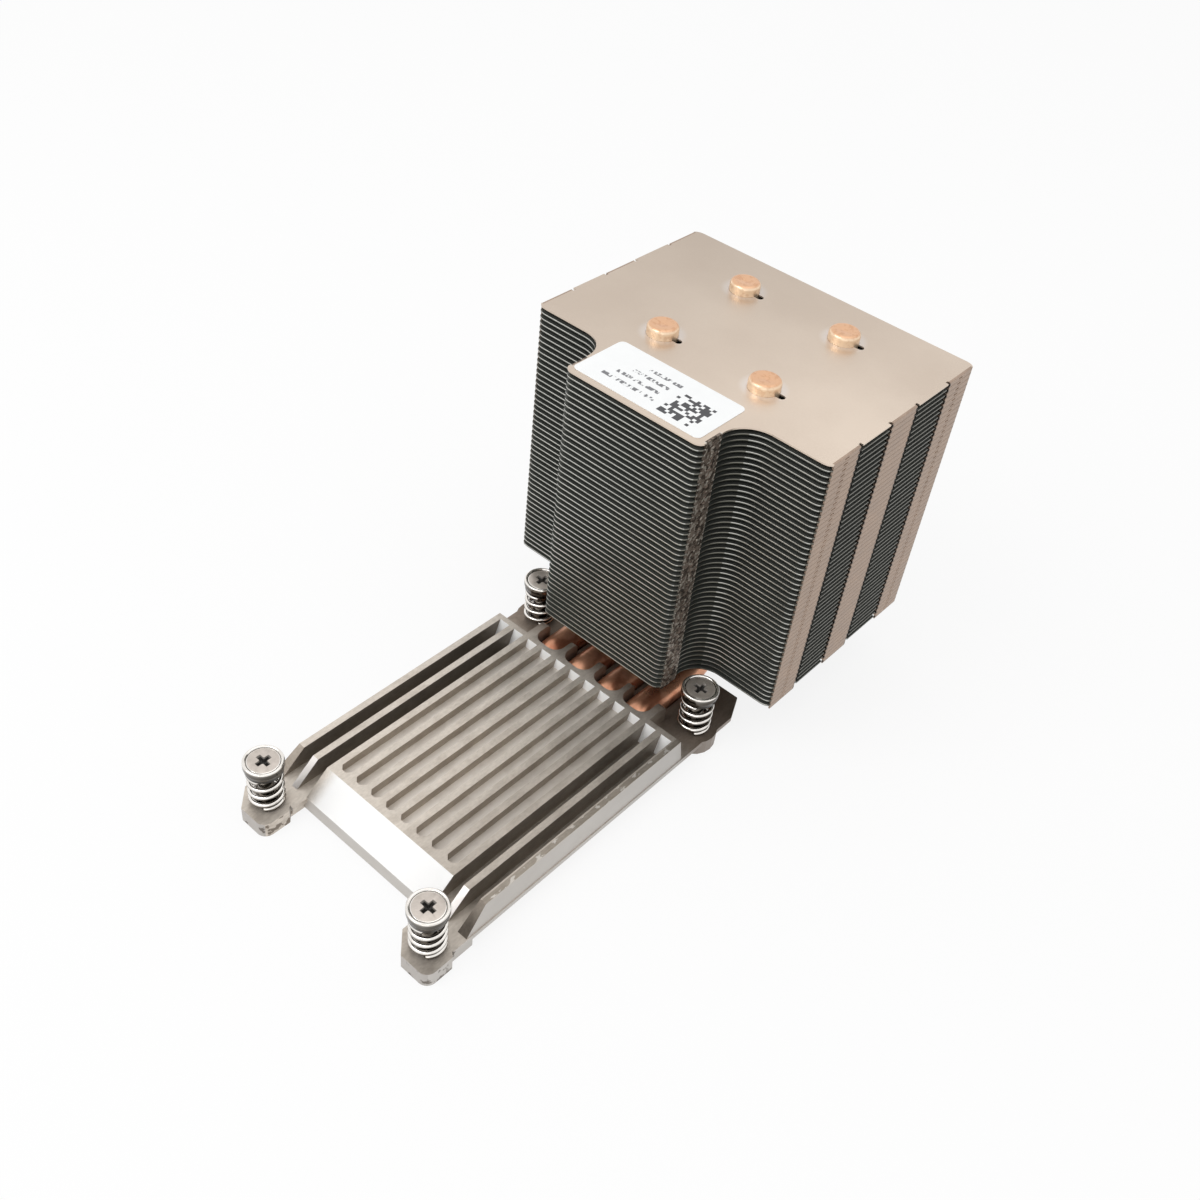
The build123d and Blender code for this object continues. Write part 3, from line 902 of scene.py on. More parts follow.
def casting_material() -> Material:
    """Build the casting's finish: matt die-cast metal with the tones of its different faces.

    The upper faces are warm, the outer walls grey. Painted shade darkens the upright walls of the channels,
    the deep floors, the right side and the rear ribs, and the floors of the shallow channels are lightened
    as painted light. The slopes that look forward carry painted highlights, near white, with painted shade
    on the outer rib ends. Towards the fin stack the metal is darkened as a painted shadow of the fins.

    Returns:
        The material.
    """
    tones = Tones(Surface.CASTING.value)
    smudges = tones.lay(CastingPatch.SMUDGES, tones.speckle(Wear.SMUDGES))
    upright = tones.upright("X")
    # Painted shade on the upright walls of the channels and on the deep floors.
    tones.lay(CastingPatch.SHADED_CHANNEL_WALLS, upright)
    walls = tones.lay(CastingPatch.DEEP_WALLS, upright)
    tones.lay(CastingPatch.SHADED_LEFT_DEEP_WALLS, walls)
    tones.lay(CastingPatch.SHADED_DEEP_FLOORS)
    # Painted light: the channel floors are lightened against their shade.
    floors = tones.lay(CastingPatch.LIGHTENED_CHANNEL_FLOORS, tones.looks("Z", 0.6))
    tones.lay(CastingPatch.SMUDGED_FLOORS, floors, smudges)
    # Painted shade on the right side.
    tones.lay(CastingPatch.SHADED_RIGHT_SIDE)
    crest = tones.lay(CastingPatch.CREST, tones.looks("Z", 0.8))
    tones.lay(CastingPatch.CREST_CHIPS, crest, tones.speckle(Wear.CREST_CHIPS))
    tones.lay(CastingPatch.OUTER_WALLS, upright)
    ends = tones.lay(CastingPatch.FRONT_ENDS, tones.upright("Y"))
    tones.lay(CastingPatch.BOSS_DENTS, tones.speckle(Wear.BOSS_DENTS))
    tones.lay(CastingPatch.BOSS_ENDS, ends)
    # Painted shadow of the fin stack, and painted shade on the rear ribs.
    tones.lay(CastingPatch.FIN_STACK_SHADOW)
    tones.lay(CastingPatch.SHADED_REAR_RIBS)
    # Painted highlights, near white, on the slopes that look forward, and painted shade on the outer rib
    # ends.
    slopes = tones.all_of(tones.looks("Y", -0.3), tones.looks("Z", 0.2))
    for place in (
        CastingPatch.HIGHLIT_RAMP,
        CastingPatch.HIGHLIT_REAR_ENDS,
        CastingPatch.HIGHLIT_INNER_RIB_ENDS,
        CastingPatch.SHADED_OUTER_RIB_ENDS,
    ):
        tones.lay(place, slopes)
    return tones.material


def sheet_material(places: list[Pair]) -> Material:
    """Build the top fin's finish: warm plated sheet with a pale painted reflection round the pipe holes and
    painted shade.

    Args:
        places: Plan places of the pipes.

    Returns:
        The material.
    """
    near, far, strength = 4.2, 6.6, 0.45
    tones = Tones(Surface.TOP_SHEET.value)
    # Painted reflection of the pipe ends round each hole.
    for x, y in places:
        ring = tones.math("MULTIPLY", tones.around(x, y, near, far), strength)
        tones.lay(StackPatch.REFLECTED_PIPE_RINGS, ring)
    # Painted shade towards the left and the rear.
    tones.lay(StackPatch.SHADED_SHEET_LEFT)
    tones.lay(StackPatch.SHADED_SHEET_REAR)
    return tones.material


def fin_material() -> Material:
    """Build the finish of the lower fins: sheared edges with painted shade below and on the sides, and faces
    dark as painted shade.

    Returns:
        The material.
    """
    tones = Tones(Surface.FINS.value)
    # Painted shade on the lower edges, the side edges and the faces between the fins.
    tones.lay(StackPatch.SHADED_LOWER_EDGES)
    tones.lay(StackPatch.SHADED_SIDE_EDGES, tones.upright("X"))
    tones.lay(StackPatch.SHADED_FLAT_FACES, tones.upright("Z"))
    return tones.material


def strip_material() -> Material:
    """Build the finish of the tabs: seams, lock marks and painted shade at the tab ends, scuffed on the
    narrow part.

    Returns:
        The material.
    """
    lock_marks = ((60.6, 62.2), (110.3, 111.9))
    tab_ends = tuple((y - 0.45, y + 0.45, 0.05) for y in (66.7, 80.1, 90.7, 105.8))
    rims = ((40.6, 41.1, 0.05), (46.3, 46.8, 0.05))
    tones = Tones(Surface.STRIPS.value)
    tones.lay(StackPatch.SEAMS)
    tones.lay(StackPatch.LOCK_MARKS, tones.spans("Y", lock_marks))
    # Painted shade at the ends of the tabs.
    tones.lay(StackPatch.SHADED_TAB_ENDS, tones.spans("Y", tab_ends))
    narrow = tones.lay(StackPatch.NARROW_TABS)
    tones.lay(StackPatch.NARROW_SCUFFS, narrow, tones.speckle(Wear.TAB_SCUFFS))
    tones.lay(StackPatch.NARROW_CHIPS, narrow, tones.speckle(Wear.TAB_CHIPS))
    tones.lay(StackPatch.NARROW_RIMS, narrow, tones.spans("Y", rims))
    return tones.material


def copper_material() -> Material:
    """Build the pipes' finish: bare copper, darker low in the base as painted shade and browned in patches
    there, with golden ends.

    Returns:
        The material.
    """
    tones = Tones(Surface.COPPER.value)
    # Painted shade on the copper low down; the browned patches are the copper's own tone.
    low = tones.lay(SmallPatch.SHADED_LOW_COPPER)
    tones.lay(SmallPatch.BROWNED_COPPER, low, tones.speckle(Wear.BROWNING))
    caps = tones.lay(SmallPatch.CAPS)
    tones.lay(SmallPatch.CAP_TOPS, caps, tones.leans("Z", 0.5, 0.9))
    tones.lay(SmallPatch.CAP_MARKS, caps, tones.speckle(Wear.CAP_MARKS))
    return tones.material


def steel_material() -> Material:
    """Build the finish of the screws, cups and springs: bright nickel with painted shade where it looks down
    or right, and at the skirts.

    Returns:
        The material.
    """
    tones = Tones(Surface.NICKEL.value)
    # Painted shade where the nickel looks down, looks right, and at the foot of the skirts.
    tones.lay(SmallPatch.SHADED_UNDERSIDES, tones.leans("Z", 0.50, -0.12))
    tones.lay(SmallPatch.SHADED_SIDES, tones.leans("X", 0.5, 0.98), tones.leans("Z", 0.5, 0.1))
    tones.lay(SmallPatch.SHADED_CUP_SKIRTS, tones.leans("Z", 0.5, 0.2))
    return tones.material


def recess_shade_material() -> Material:
    """Build the painted shade inside the cross recess of a screw, a near-black finish that is darkest
    towards its floor.

    Returns:
        The material.
    """
    tones = Tones(Surface.RECESS.value)
    # Painted shade, darkest towards the floor of the recess.
    tones.lay(SmallPatch.SHADED_RECESS_RIM)
    return tones.material


def paper_material() -> Material:
    """Build the label's finish: matt white paper with plain print, four rows of dashes and a block.

    Returns:
        The material.
    """
    rows = ((44.6, -13.5, 2.0), (47.6, -11.5, 1.0), (50.6, -9.0, 1.5), (53.6, -6.5, 3.0))
    half_height, row_soft = 0.6, 0.08
    square, inked = 0.9, 0.5
    tones = Tones(Surface.PAPER.value)
    lines = []
    for y, left, right in rows:
        height = tones.span("Y", y - half_height, y + half_height, row_soft)
        lines.append(tones.all_of(height, tones.span("X", left, right)))
    tones.lay(SmallPatch.PRINT, tones.any_of(*lines), tones.speckle(Wear.PRINT))
    tones.lay(SmallPatch.PRINT_BLOCK, tones.cells(square, inked))
    return tones.material


# Sub-assemblies


@dataclass
class FinStack:
    """The plated fins with the folded tabs that space them.

    Attributes:
        thick: Thickness of the sheet.
        count: Number of fins, the top one included.
        wide_half: Half the width of the rear part.
        narrow_half: Half the width of the front part.
        front: Front edge of the narrow part.
        shoulder: Front edge of the wide part.
        rear: Rear edge.
        bite: Radius of the concave corners.
        corner: Reach of the outer corners, across and along.
        narrow_corner: Reach of the front corners, across and along.
        tab_thick: Thickness of a folded tab.
        fold: Radius of the fold at the top of a tab.
        tab_gap: Gap between a tab and the fin that it stands on.
        wide_tabs: Middle and width of each tab of the rear part, along Y.
        narrow_tab: Middle and width of the tab of the front part, along Y.
        relief: Size of the relief notch at a free end of a tab.
        lock_reach: Half the length of a tab's lock recess, at its floor and at its rim.
        lock_heights: Heights of the lock recess, its rim and floor from the top down.
        lock_depth: How far the lock recess is pressed in.
        heart: Height of the point that closes each end of a tab.
        bore: Radius of the pipe holes.
        slot: Half width of the slot beside a hole of the top fin, and its reach from the middle.
        collar: Thickness and drop of the collar round a pipe hole.
        round_steps: Steps round a pipe hole or a collar.
    """

    thick: float = 0.4
    count: int = 49
    wide_half: float = 43.75
    narrow_half: float = 20.2
    front: float = 38.8
    shoulder: float = 54.8
    rear: float = 117.7
    bite: float = 7.8
    corner: Pair = (2.6, 1.4)
    narrow_corner: Pair = (2.4, 1.8)
    tab_thick: float = 0.38
    fold: float = 0.2
    tab_gap: float = 0.02
    wide_tabs: Pairs = ((61.4, 10.6), (85.4, 10.6), (111.1, 10.6))
    narrow_tab: Pair = (43.7, 6.0)
    relief: float = 0.9
    lock_reach: Pair = (0.75, 0.85)
    lock_heights: Span = (-0.55, -0.62, -1.0, -1.07)
    lock_depth: float = 0.22
    heart: float = -0.3
    bore: float = 4.05
    slot: Pair = (0.95, 6.0)
    collar: Pair = (0.4, 1.1)
    round_steps: int = 48

    def side(self) -> Array:
        """Trace the plan of the right half, from the middle of the front edge round to the rear edge.

        Returns:
            Points of shape (n, 2).
        """
        wide, narrow = self.wide_half, self.narrow_half
        rise, reach = self.relief, self.fold + self.tab_thick
        across, along = self.corner
        near, far = self.narrow_corner
        rows = [arc(narrow - near, self.front + far, near, far, -90, 0, 8)]
        middle, width = self.narrow_tab
        low, high = middle - width / 2, middle + width / 2
        rows.append(np.array([(narrow, low), (narrow - reach, low), (narrow - reach, high), (narrow, high)]))
        rows.append(arc(narrow + self.bite, self.shoulder - self.bite, self.bite, self.bite, 180, 90, 14))
        rows.append(arc(wide - across, self.shoulder + along, across, along, -90, 0, 8))
        for number, (middle, width) in enumerate(self.wide_tabs):
            low, high = middle - width / 2, middle + width / 2
            first, last = number == 0, number == len(self.wide_tabs) - 1
            if not first:
                rows.append(np.array([(wide, low - rise), (wide - rise, low - rise)]))
            rows.append(np.array([(wide if first else wide - rise, low), (wide - reach, low)]))
            rows.append(np.array([(wide - reach, high), (wide if last else wide - rise, high)]))
            if not last:
                rows.append(np.array([(wide - rise, high + rise), (wide, high + rise)]))
        rows.append(arc(wide - across, self.rear - along, across, along, 0, 90, 8))
        return np.concatenate(rows)

    def outline(self) -> Array:
        """Join the right half of a fin's plan and its mirror image."""
        half = self.side()
        return np.concatenate([half, half[::-1] * (-1.0, 1.0)])

    def bores(self, places: list[Pair]) -> list[Array]:
        """Give the plans of the pipe holes."""
        last = 360 - 360 / self.round_steps
        return [arc(x, y, self.bore, self.bore, 0, last, self.round_steps - 1) for x, y in places]

    def keyholes(self, places: list[Pair]) -> list[Array]:
        """Give the plans of the top fin's holes, each with a slot on its right that lets it open.

        Args:
            places: Plan places of the pipes.

        Returns:
            One plan of shape (n, 2) for each pipe.
        """
        half, reach = self.slot
        start = math.degrees(math.asin(half / self.bore))
        plans = []
        for x, y in places:
            ring = arc(x, y, self.bore, self.bore, start, 360 - start, 44)
            slot = arc(x + reach - half, y, half, half, -90, 90, 8)
            plans.append(np.concatenate([ring, slot]))
        return plans

    def tab_mesh(self, edge: float, middle: float, width: float, hand: int, lock: bool) -> Mesh:
        """Loft one folded tab along Y.

        The section (u, z) runs along the fin, over the fold and down to the next fin, with u
        measured outward from the tab's face. It is repeated at each station along Y. Between the
        stations of the lock the points of the recess move in by its depth.

        Args:
            edge: Outer face of the tab.
            middle: Middle of the tab along Y.
            width: Width of the tab.
            hand: 1 for the right side and -1 for the left.
            lock: Whether a lock recess is pressed into the tab.

        Returns:
            The mesh of the tab.
        """
        inner, tab, sheet = self.fold + self.tab_thick, self.tab_thick, self.thick
        drop = -FIN_PITCH + self.tab_gap
        bend = arc(-self.fold, -self.fold, self.fold, self.fold, 90, 0, 4)
        recess = np.array([(0.0, height) for height in self.lock_heights])
        foot = np.array([(0.0, drop), (-tab, drop), (-tab, -sheet), (-inner, -sheet)])
        section = np.concatenate([np.array([(-inner, 0.0)]), bend, recess, foot])
        deep = np.zeros(len(section))
        deep[[len(bend) + 2, len(bend) + 3]] = -self.lock_depth
        stations = [(middle - width / 2, 0.0), (middle + width / 2, 0.0)]
        if lock:
            floor_end, rim_end = self.lock_reach
            marks = ((-rim_end, 0.0), (-floor_end, 1.0), (floor_end, 1.0), (rim_end, 0.0))
            stations[1:1] = [(middle + reach, pressed) for reach, pressed in marks]
        rows = []
        for y, pressed in stations:
            out = hand * (edge + section[:, 0] + deep * pressed)
            rows.append(np.stack([out, np.full(len(section), y), section[:, 1]], axis=-1))
        heart = hand * (edge - self.tab_thick / 2)
        for place, (y, _) in ((0, stations[0]), (len(rows) + 1, stations[-1])):
            rows.insert(place, np.broadcast_to((heart, y, self.heart), (len(section), 3)))
        grid = np.stack(rows) + (0.0, 0.0, FIN_TOP)
        return weld(grid_mesh("tab", grid, False, True), CLOSE_WELD)

    def build_sheets(self, places: list[Pair], sheet: Material, edges: Material) -> None:
        """Make the top fin, and the fins below it with the collars of their pipe holes.

        Args:
            places: Plan places of the pipes.
            sheet: Material of the top fin.
            edges: Material of the fins below it.
        """
        upper = plate("top_sheet", self.outline(), self.keyholes(places), FIN_TOP, self.thick)
        dress(mesh_object("top_sheet", upper, sheet), "heatsink", "fins", "top_fin")
        level = FIN_TOP - FIN_PITCH
        parts = [plate("fin_sheets", self.outline(), self.bores(places), level, self.thick)]
        wall, drop = self.collar
        inner, outer = self.bore, self.bore + wall
        ring = np.array([(inner, 0.0), (outer, 0.0), (outer, -drop), (inner, -drop)])
        for x, y in places:
            collar = revolve("collar", ring + (0.0, level - self.thick), self.round_steps, closed=True)
            collar.transform(Matrix.Translation((x * MM, y * MM, 0.0)))
            parts.append(collar)
        fins = mesh_object("fin_sheets", joined("fin_sheets", parts), edges)
        repeat(fins, self.count - 1)
        dress(fins, "heatsink", "fins", "fin_stack")

    def build_tabs(self, strip: Material) -> None:
        """Make the folded tabs of all the fins. The middle tab of the wide part has no lock.

        Args:
            strip: Material of the tabs.
        """
        tabs = []
        for hand in (-1, 1):
            for number, (middle, width) in enumerate(self.wide_tabs):
                tabs.append(self.tab_mesh(self.wide_half, middle, width, hand, number != 1))
            tabs.append(self.tab_mesh(self.narrow_half, *self.narrow_tab, hand, True))
        strips = mesh_object("fin_tabs", joined("fin_tabs", tabs), strip)
        repeat(strips, self.count)
        dress(strips, "heatsink", "fins", "fin_stack")


@dataclass
class HeatPipe:
    """One copper pipe, flat under the plateau, then round, bent upright through the fins.

    Attributes:
        side: Side of the heatsink.
        lane: Distance of its trough from the middle.
        riser_y: Place of its upright part along Y.
        riser_x: Distance of its upright part from the middle.
        radius: Radius of the round part.
        level: Height of the axis of the round part.
        bend: Radius of the bend.
        sway: Radius of the two arcs that lead it outward.
        sway_start: Where the first arc starts along Y.
        flat: Width and height of the flat part.
        flat_level: Height of the axis of the flat part.
        flat_ends: Front end and rear end of the flat part along Y.
        round_from: Where the pipe is round, along Y.
        top: Height of its closed end.
        crown: Share of the radius where the crown starts, and the crown's height.
        dimple: Depth and reach of the dimple, and the height of its lobes.
        dimple_rise: Share of the radius where the dimple ends, and over which it fades.
        sides: Number of points round the pipe.
        weld_gap: Merge distance of the pipe's parts.
    """

    side: Side
    lane: float
    riser_y: float
    riser_x: float = 15.4
    radius: float = 4.0
    level: float = 4.8
    bend: float = 13.0
    sway: float = 16.9
    sway_start: float = 64.0
    flat: Pair = (8.8, 5.4)
    flat_level: float = 4.1
    flat_ends: Pair = (-28.0, 34.2)
    round_from: float = 41.2
    top: float = 96.2
    crown: Pair = (0.72, 1.1)
    dimple: Triple = (0.35, 0.3, 0.10)
    dimple_rise: Pair = (0.78, 0.4)
    sides: int = 48
    weld_gap: float = 0.012

    def swayed(self) -> Array:
        """Lead the round part from its lane out to its riser, by an arc out and an arc back.

        For a shift s, each arc of radius R turns by acos(1 - s / 2R).

        Returns:
            Points of shape (n, 3).
        """
        steps = 12
        turn = math.acos(1 - (self.riser_x - self.lane) / (2 * self.sway))
        a = np.linspace(0.0, turn, steps)
        out_x = self.lane + self.sway * (1 - np.cos(a))
        out_y = self.sway_start + self.sway * np.sin(a)
        b = a[-2::-1]
        back_x = self.riser_x - self.sway * (1 - np.cos(b))
        back_y = self.sway_start + self.sway * (2 * math.sin(turn) - np.sin(b))
        x, y = np.concatenate([out_x, back_x]), np.concatenate([out_y, back_y])
        return np.stack([x, y, np.full_like(x, self.level)], axis=-1)

    def path(self) -> tuple[Array, Array]:
        """Give the points of the axis and the half widths of the section at each.

        The level run goes over from flat to round by the smooth step 3 t^2 - 2 t^3. The bend is a
        quarter turn.

        Returns:
            Points of shape (n, 3) and half widths of shape (n, 2), in millimetres.
        """
        blend_steps, bend_steps, lead = 15, 25, 0.01
        front, rear = self.flat_ends
        y = np.concatenate([[front], np.linspace(rear - lead, self.round_from, blend_steps)])
        t = np.clip((y - rear) / (self.round_from - rear), 0.0, 1.0)
        t = t * t * (3 - 2 * t)
        height = self.flat_level + t * (self.level - self.flat_level)
        points = [np.stack([np.full_like(y, self.lane), y, height], axis=-1)]
        wide = self.flat[0] / 2 + t * (self.radius - self.flat[0] / 2)
        high = self.flat[1] / 2 + t * (self.radius - self.flat[1] / 2)
        if self.riser_x > self.lane:
            points.append(self.swayed())
        a = np.linspace(0.0, math.pi / 2, bend_steps)
        bend_y = self.riser_y - self.bend + self.bend * np.sin(a)
        bend_z = self.level + self.bend * (1 - np.cos(a))
        points.append(np.stack([np.full_like(a, self.riser_x), bend_y, bend_z], axis=-1))
        points.append(np.array([(self.riser_x, self.riser_y, self.top - self.radius)]))
        course = np.concatenate(points)
        half = np.full((len(course), 2), self.radius)
        half[: len(y)] = np.stack([wide, high], axis=-1)
        return course, half

    def cap(self) -> Mesh:
        """Close the upright end with a flat dome that the closing tool has dimpled.

        With f the share of the radius, the height is the crown's quarter ellipse outside its start
        and falls inside it by d exp(-(f / w)^2) + l f (1 + cos(3 a + s)), faded towards the crown.
        The turn s of the lobes differs from pipe to pipe.

        Returns:
            The mesh of the cap.
        """
        start, height = self.crown
        depth, reach, lobes = self.dimple
        fade_end, fade = self.dimple_rise
        crown_steps, inner_steps, inner_start = 9, 10, 0.66
        angle = ring_angles(self.sides)
        a = np.linspace(0.0, math.pi / 2, crown_steps)
        crown = np.stack([start + (1 - start) * np.cos(a), height * np.sin(a) - height], axis=-1)
        inside = np.linspace(inner_start, 0.0, inner_steps)
        f = np.concatenate([[1.0], crown[:, 0], inside])[:, None]
        z = np.concatenate([[-self.radius], crown[:, 1], np.zeros(len(inside))])[:, None]
        soft = np.clip((fade_end - f) / fade, 0.0, 1.0)
        dent = depth * np.exp(-((f / reach) ** 2))
        z = z - soft * (dent + lobes * f * (1 + np.cos(3 * angle + self.riser_y)))
        x = int(self.side.value) * self.riser_x + self.radius * f * np.cos(angle)
        y = self.riser_y + self.radius * f * np.sin(angle)
        grid = np.stack([x, y, self.top + z], axis=-1)
        return weld(grid_mesh("cap", grid, False, True))

    def build(self, node: str, copper: Material) -> None:
        """Make the pipe in place of its CAD node.

        Args:
            node: Name of the node.
            copper: Material of the pipe.
        """
        up = np.array([0.0, -1.0, 1.0])
        course, half = self.path()
        course = course * (self.side.value, 1.0, 1.0)
        shaft = tube("shaft", course, half, self.sides, up)
        end = np.concatenate([course[:1], course[:1] + (0.0, 0.01, 0.0)])
        front = tube("front", end, np.array([(0.0, 0.0), tuple(half[0])]), self.sides, up)
        whole = weld(joined(node, [shaft, front, self.cap()]), self.weld_gap)
        dress(mesh_object(f"{node}_tube", whole, copper), "heatsink", "copper", node)


@dataclass
class CaptiveScrew:
    """A captive screw with its spring cup and its spring.

    Attributes:
        corner: Corner of the screw pattern.
        seat: Height of the spring's seat.
        foot: Height of the cup's foot.
        rim: Height of the cup's rim.
        cup_radius: Outer radius of the cup.
        cup_bore: Radius of the hole in the cup.
        skirt: Inset from the cup's radius and height over its foot, up the outside of the cup.
        roll: Radius of the rolled rim.
        recess: Radius and height of the cup's inside, from the rim down to its floor.
        head_radius: Radius of the screw's head.
        head_top: Height of the head's face.
        shank_radius: Radius of the shank.
        tip: Height of the shank's tip.
        neck: Height of the head's underside.
        cross: Arm, half width, hub and depth of each ring of the cross recess.
        cross_floor: Depth of its middle.
        wire: Thickness of the spring's wire.
        spring_radius: Radius of the spring's axis.
        turns: Turns of the spring.
        turn_steps: Steps along each turn.
        start: Where the wire starts round the axis, in degrees from +X.
        closed_rise: Rise of the lowest turn.
        end_gap: Gap between the spring and what it stands against.
    """

    corner: Corner
    seat: float = 4.4
    foot: float = 15.1
    rim: float = 18.4
    cup_radius: float = 4.9
    cup_bore: float = 2.03
    skirt: Pairs = ((0.6, 0.0), (0.35, 0.12), (0.3, 0.3), (0.3, 1.1), (0.08, 1.45), (0.0, 1.7))
    roll: float = 0.42
    recess: Pairs = ((4.22, 17.7), (4.2, 16.8))
    head_radius: float = 4.0
    head_top: float = 18.15
    shank_radius: float = 1.95
    tip: float = 0.3
    neck: float = 16.95
    cross: tuple[Span, ...] = ((2.0, 0.62, 1.02, 0.0), (1.9, 0.52, 0.92, 0.1), (1.3, 0.38, 0.60, 1.1))
    cross_floor: float = 1.5
    wire: float = 1.15
    spring_radius: float = 3.85
    turns: float = 4.0
    turn_steps: int = 56
    start: float = -55.0
    closed_rise: float = 1.3
    end_gap: float = 0.1

    def cup(self) -> Mesh:
        """Turn the cup: a skirt with a rolled rim round a shallow recess.

        Returns:
            The mesh of the cup.
        """
        r, roll = self.cup_radius, self.roll
        floor = self.recess[-1][1]
        profile = np.concatenate([
            np.array([(self.cup_bore, self.foot)]),
            np.array([(r - inset, self.foot + height) for inset, height in self.skirt]),
            arc(r - roll, self.rim - roll, roll, roll, 0, 160, 10),
            np.array([*self.recess, (self.cup_bore, floor)]),
        ])
        return revolve("cup", profile, closed=True)

    def head_profile(self) -> Array:
        """Trace the screw's outside from its tip to the edge of its face.

        Returns:
            Points (r, z) of shape (n, 2).
        """
        top, r, shank, tip, neck = self.head_top, self.head_radius, self.shank_radius, self.tip, self.neck
        return np.array([
            (0.0, tip),
            (shank - 0.4, tip),
            (shank, tip + 0.5),
            (shank, neck),
            (r - 0.1, neck),
            (r, neck + 0.15),
            (r, top - 0.25),
            (r - 0.07, top - 0.07),
            (r - 0.25, top),
        ])

    def rings(self, angle: Array) -> Array:
        """Give the screw's radii at each angle, round outside and a cross inside its face.

        A ring of the cross is r(a) = max over both arms of min(L / |cos a|, w / |sin a|), and
        never less than the hub.

        Args:
            angle: Angles of the ring's points.

        Returns:
            Radii of shape (rings, angles).
        """
        c, s = np.abs(np.cos(angle)), np.abs(np.sin(angle))
        rings = [np.full_like(angle, radius) for radius in self.head_profile()[:, 0]]
        for arm, half, hub, _ in self.cross:
            arms = np.maximum(np.minimum(arm / c, half / s), np.minimum(half / c, arm / s))
            rings.append(np.maximum(arms, hub))
        rings.append(np.zeros_like(angle))
        return np.stack(rings)

    def screw(self) -> Mesh:
        """Turn the head with its cross recess, and the shank.

        Returns:
            The mesh of the screw.
        """
        steps = 192
        sunk = [self.head_top - depth for *_, depth in self.cross]
        heights = np.concatenate([self.head_profile()[:, 1], sunk, [self.head_top - self.cross_floor]])
        profile = np.stack([np.zeros_like(heights), heights], axis=-1)
        return revolve("screw", profile, steps, radius=self.rings)

    def spring(self) -> Mesh:
        """Wind the spring: (R cos a, R sin a, z(a)), with a closed first turn and open turns above.

        Returns:
            The mesh of the spring.
        """
        wire_sides, tip_share = 16, 0.9
        low = self.seat + self.end_gap + self.wire / 2
        rise = self.foot - self.end_gap - self.wire / 2 - low
        t = np.linspace(0.0, self.turns, round(self.turns * self.turn_steps) + 1)
        open_pitch = (rise - self.closed_rise) / (self.turns - 1)
        z = low + self.closed_rise * np.minimum(t, 1.0) + open_pitch * np.maximum(t - 1.0, 0.0)
        a = math.radians(self.start) + 2 * math.pi * t
        course = np.stack([self.spring_radius * np.cos(a), self.spring_radius * np.sin(a), z], axis=-1)
        half = np.full((len(t), 2), self.wire / 2)
        half[[0, -1]] = 0.0
        half[[1, -2]] *= tip_share
        return tube("spring", course, half, wire_sides, np.array([0.0, 0.0, 1.0]))

    def part_faces(self, mesh: Mesh) -> None:
        """Give the second material to the screw's face and the third to the cross recess.

        Args:
            mesh: Mesh of the screw about its own axis.
        """
        skin, rim, cross_reach, cross_depth = 0.02, 0.2, 2.2, 2.0
        middles = np.zeros(len(mesh.polygons) * 3, np.float32)
        mesh.polygons.foreach_get("center", middles)
        middles = middles.reshape(-1, 3) / MM
        reach = np.hypot(middles[:, 0], middles[:, 1])
        depth = self.head_top - middles[:, 2]
        face = (reach < self.head_radius - rim) & (depth < skin)
        sunk = (reach < cross_reach) & (depth > skin) & (depth < cross_depth)
        mesh.polygons.foreach_set("material_index", (face + 2 * sunk).astype(np.int32))

    def build(self, metal: Material, face: Material, recess: Material) -> None:
        """Make the cup, the screw and the spring in place of their CAD nodes.

        Args:
            metal: Material of all three.
            face: Material of the screw's face.
            recess: Material inside the cross recess, a painted shade.
        """
        stem, x, y = self.corner.value
        screw = self.screw()
        self.part_faces(screw)
        for mesh, part, body, materials in (
            (self.cup(), "spring_cup", f"{stem}_cup_slide", (metal,)),
            (screw, "screw", f"{stem}_screw_spin", (metal, face, recess)),
            (self.spring(), "spring", "heatsink", (metal,)),
        ):
            mesh.transform(Matrix.Translation((x * MM, y * MM, 0.0)))
            mesh.name = f"{stem}_{part}_smooth"
            piece = mesh_object(mesh.name, mesh, *materials)
            dress(piece, body, "plated_steel", f"{stem}_{part}")
            if part == "spring":
                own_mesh(piece)


@dataclass
class Label:
    """The plain paper label on the top fin.

    Attributes:
        low: Lowest corner in plan.
        high: Highest corner in plan.
        corner: Radius of the corners.
        thick: Thickness of the paper.
    """

    low: Pair = (-19.3, 40.4)
    high: Pair = (18.2, 58.4)
    corner: float = 1.5
    thick: float = 0.12

    def build(self, paper: Material) -> None:
        """Make the label in place of its CAD node.

        Args:
            paper: Material of the label.
        """
        (x0, y0), (x1, y1), r = self.low, self.high, self.corner
        centres = [(x1 - r, y0 + r, -90), (x1 - r, y1 - r, 0), (x0 + r, y1 - r, 90), (x0 + r, y0 + r, 180)]
        outline = np.concatenate([arc(x, y, r, r, start, start + 90, 8) for x, y, start in centres])
        sheet = plate("paper_label", outline, [], FIN_TOP + self.thick, self.thick)
        dress(mesh_object("paper_label", sheet, paper), "heatsink", "label", "label")


# Studio


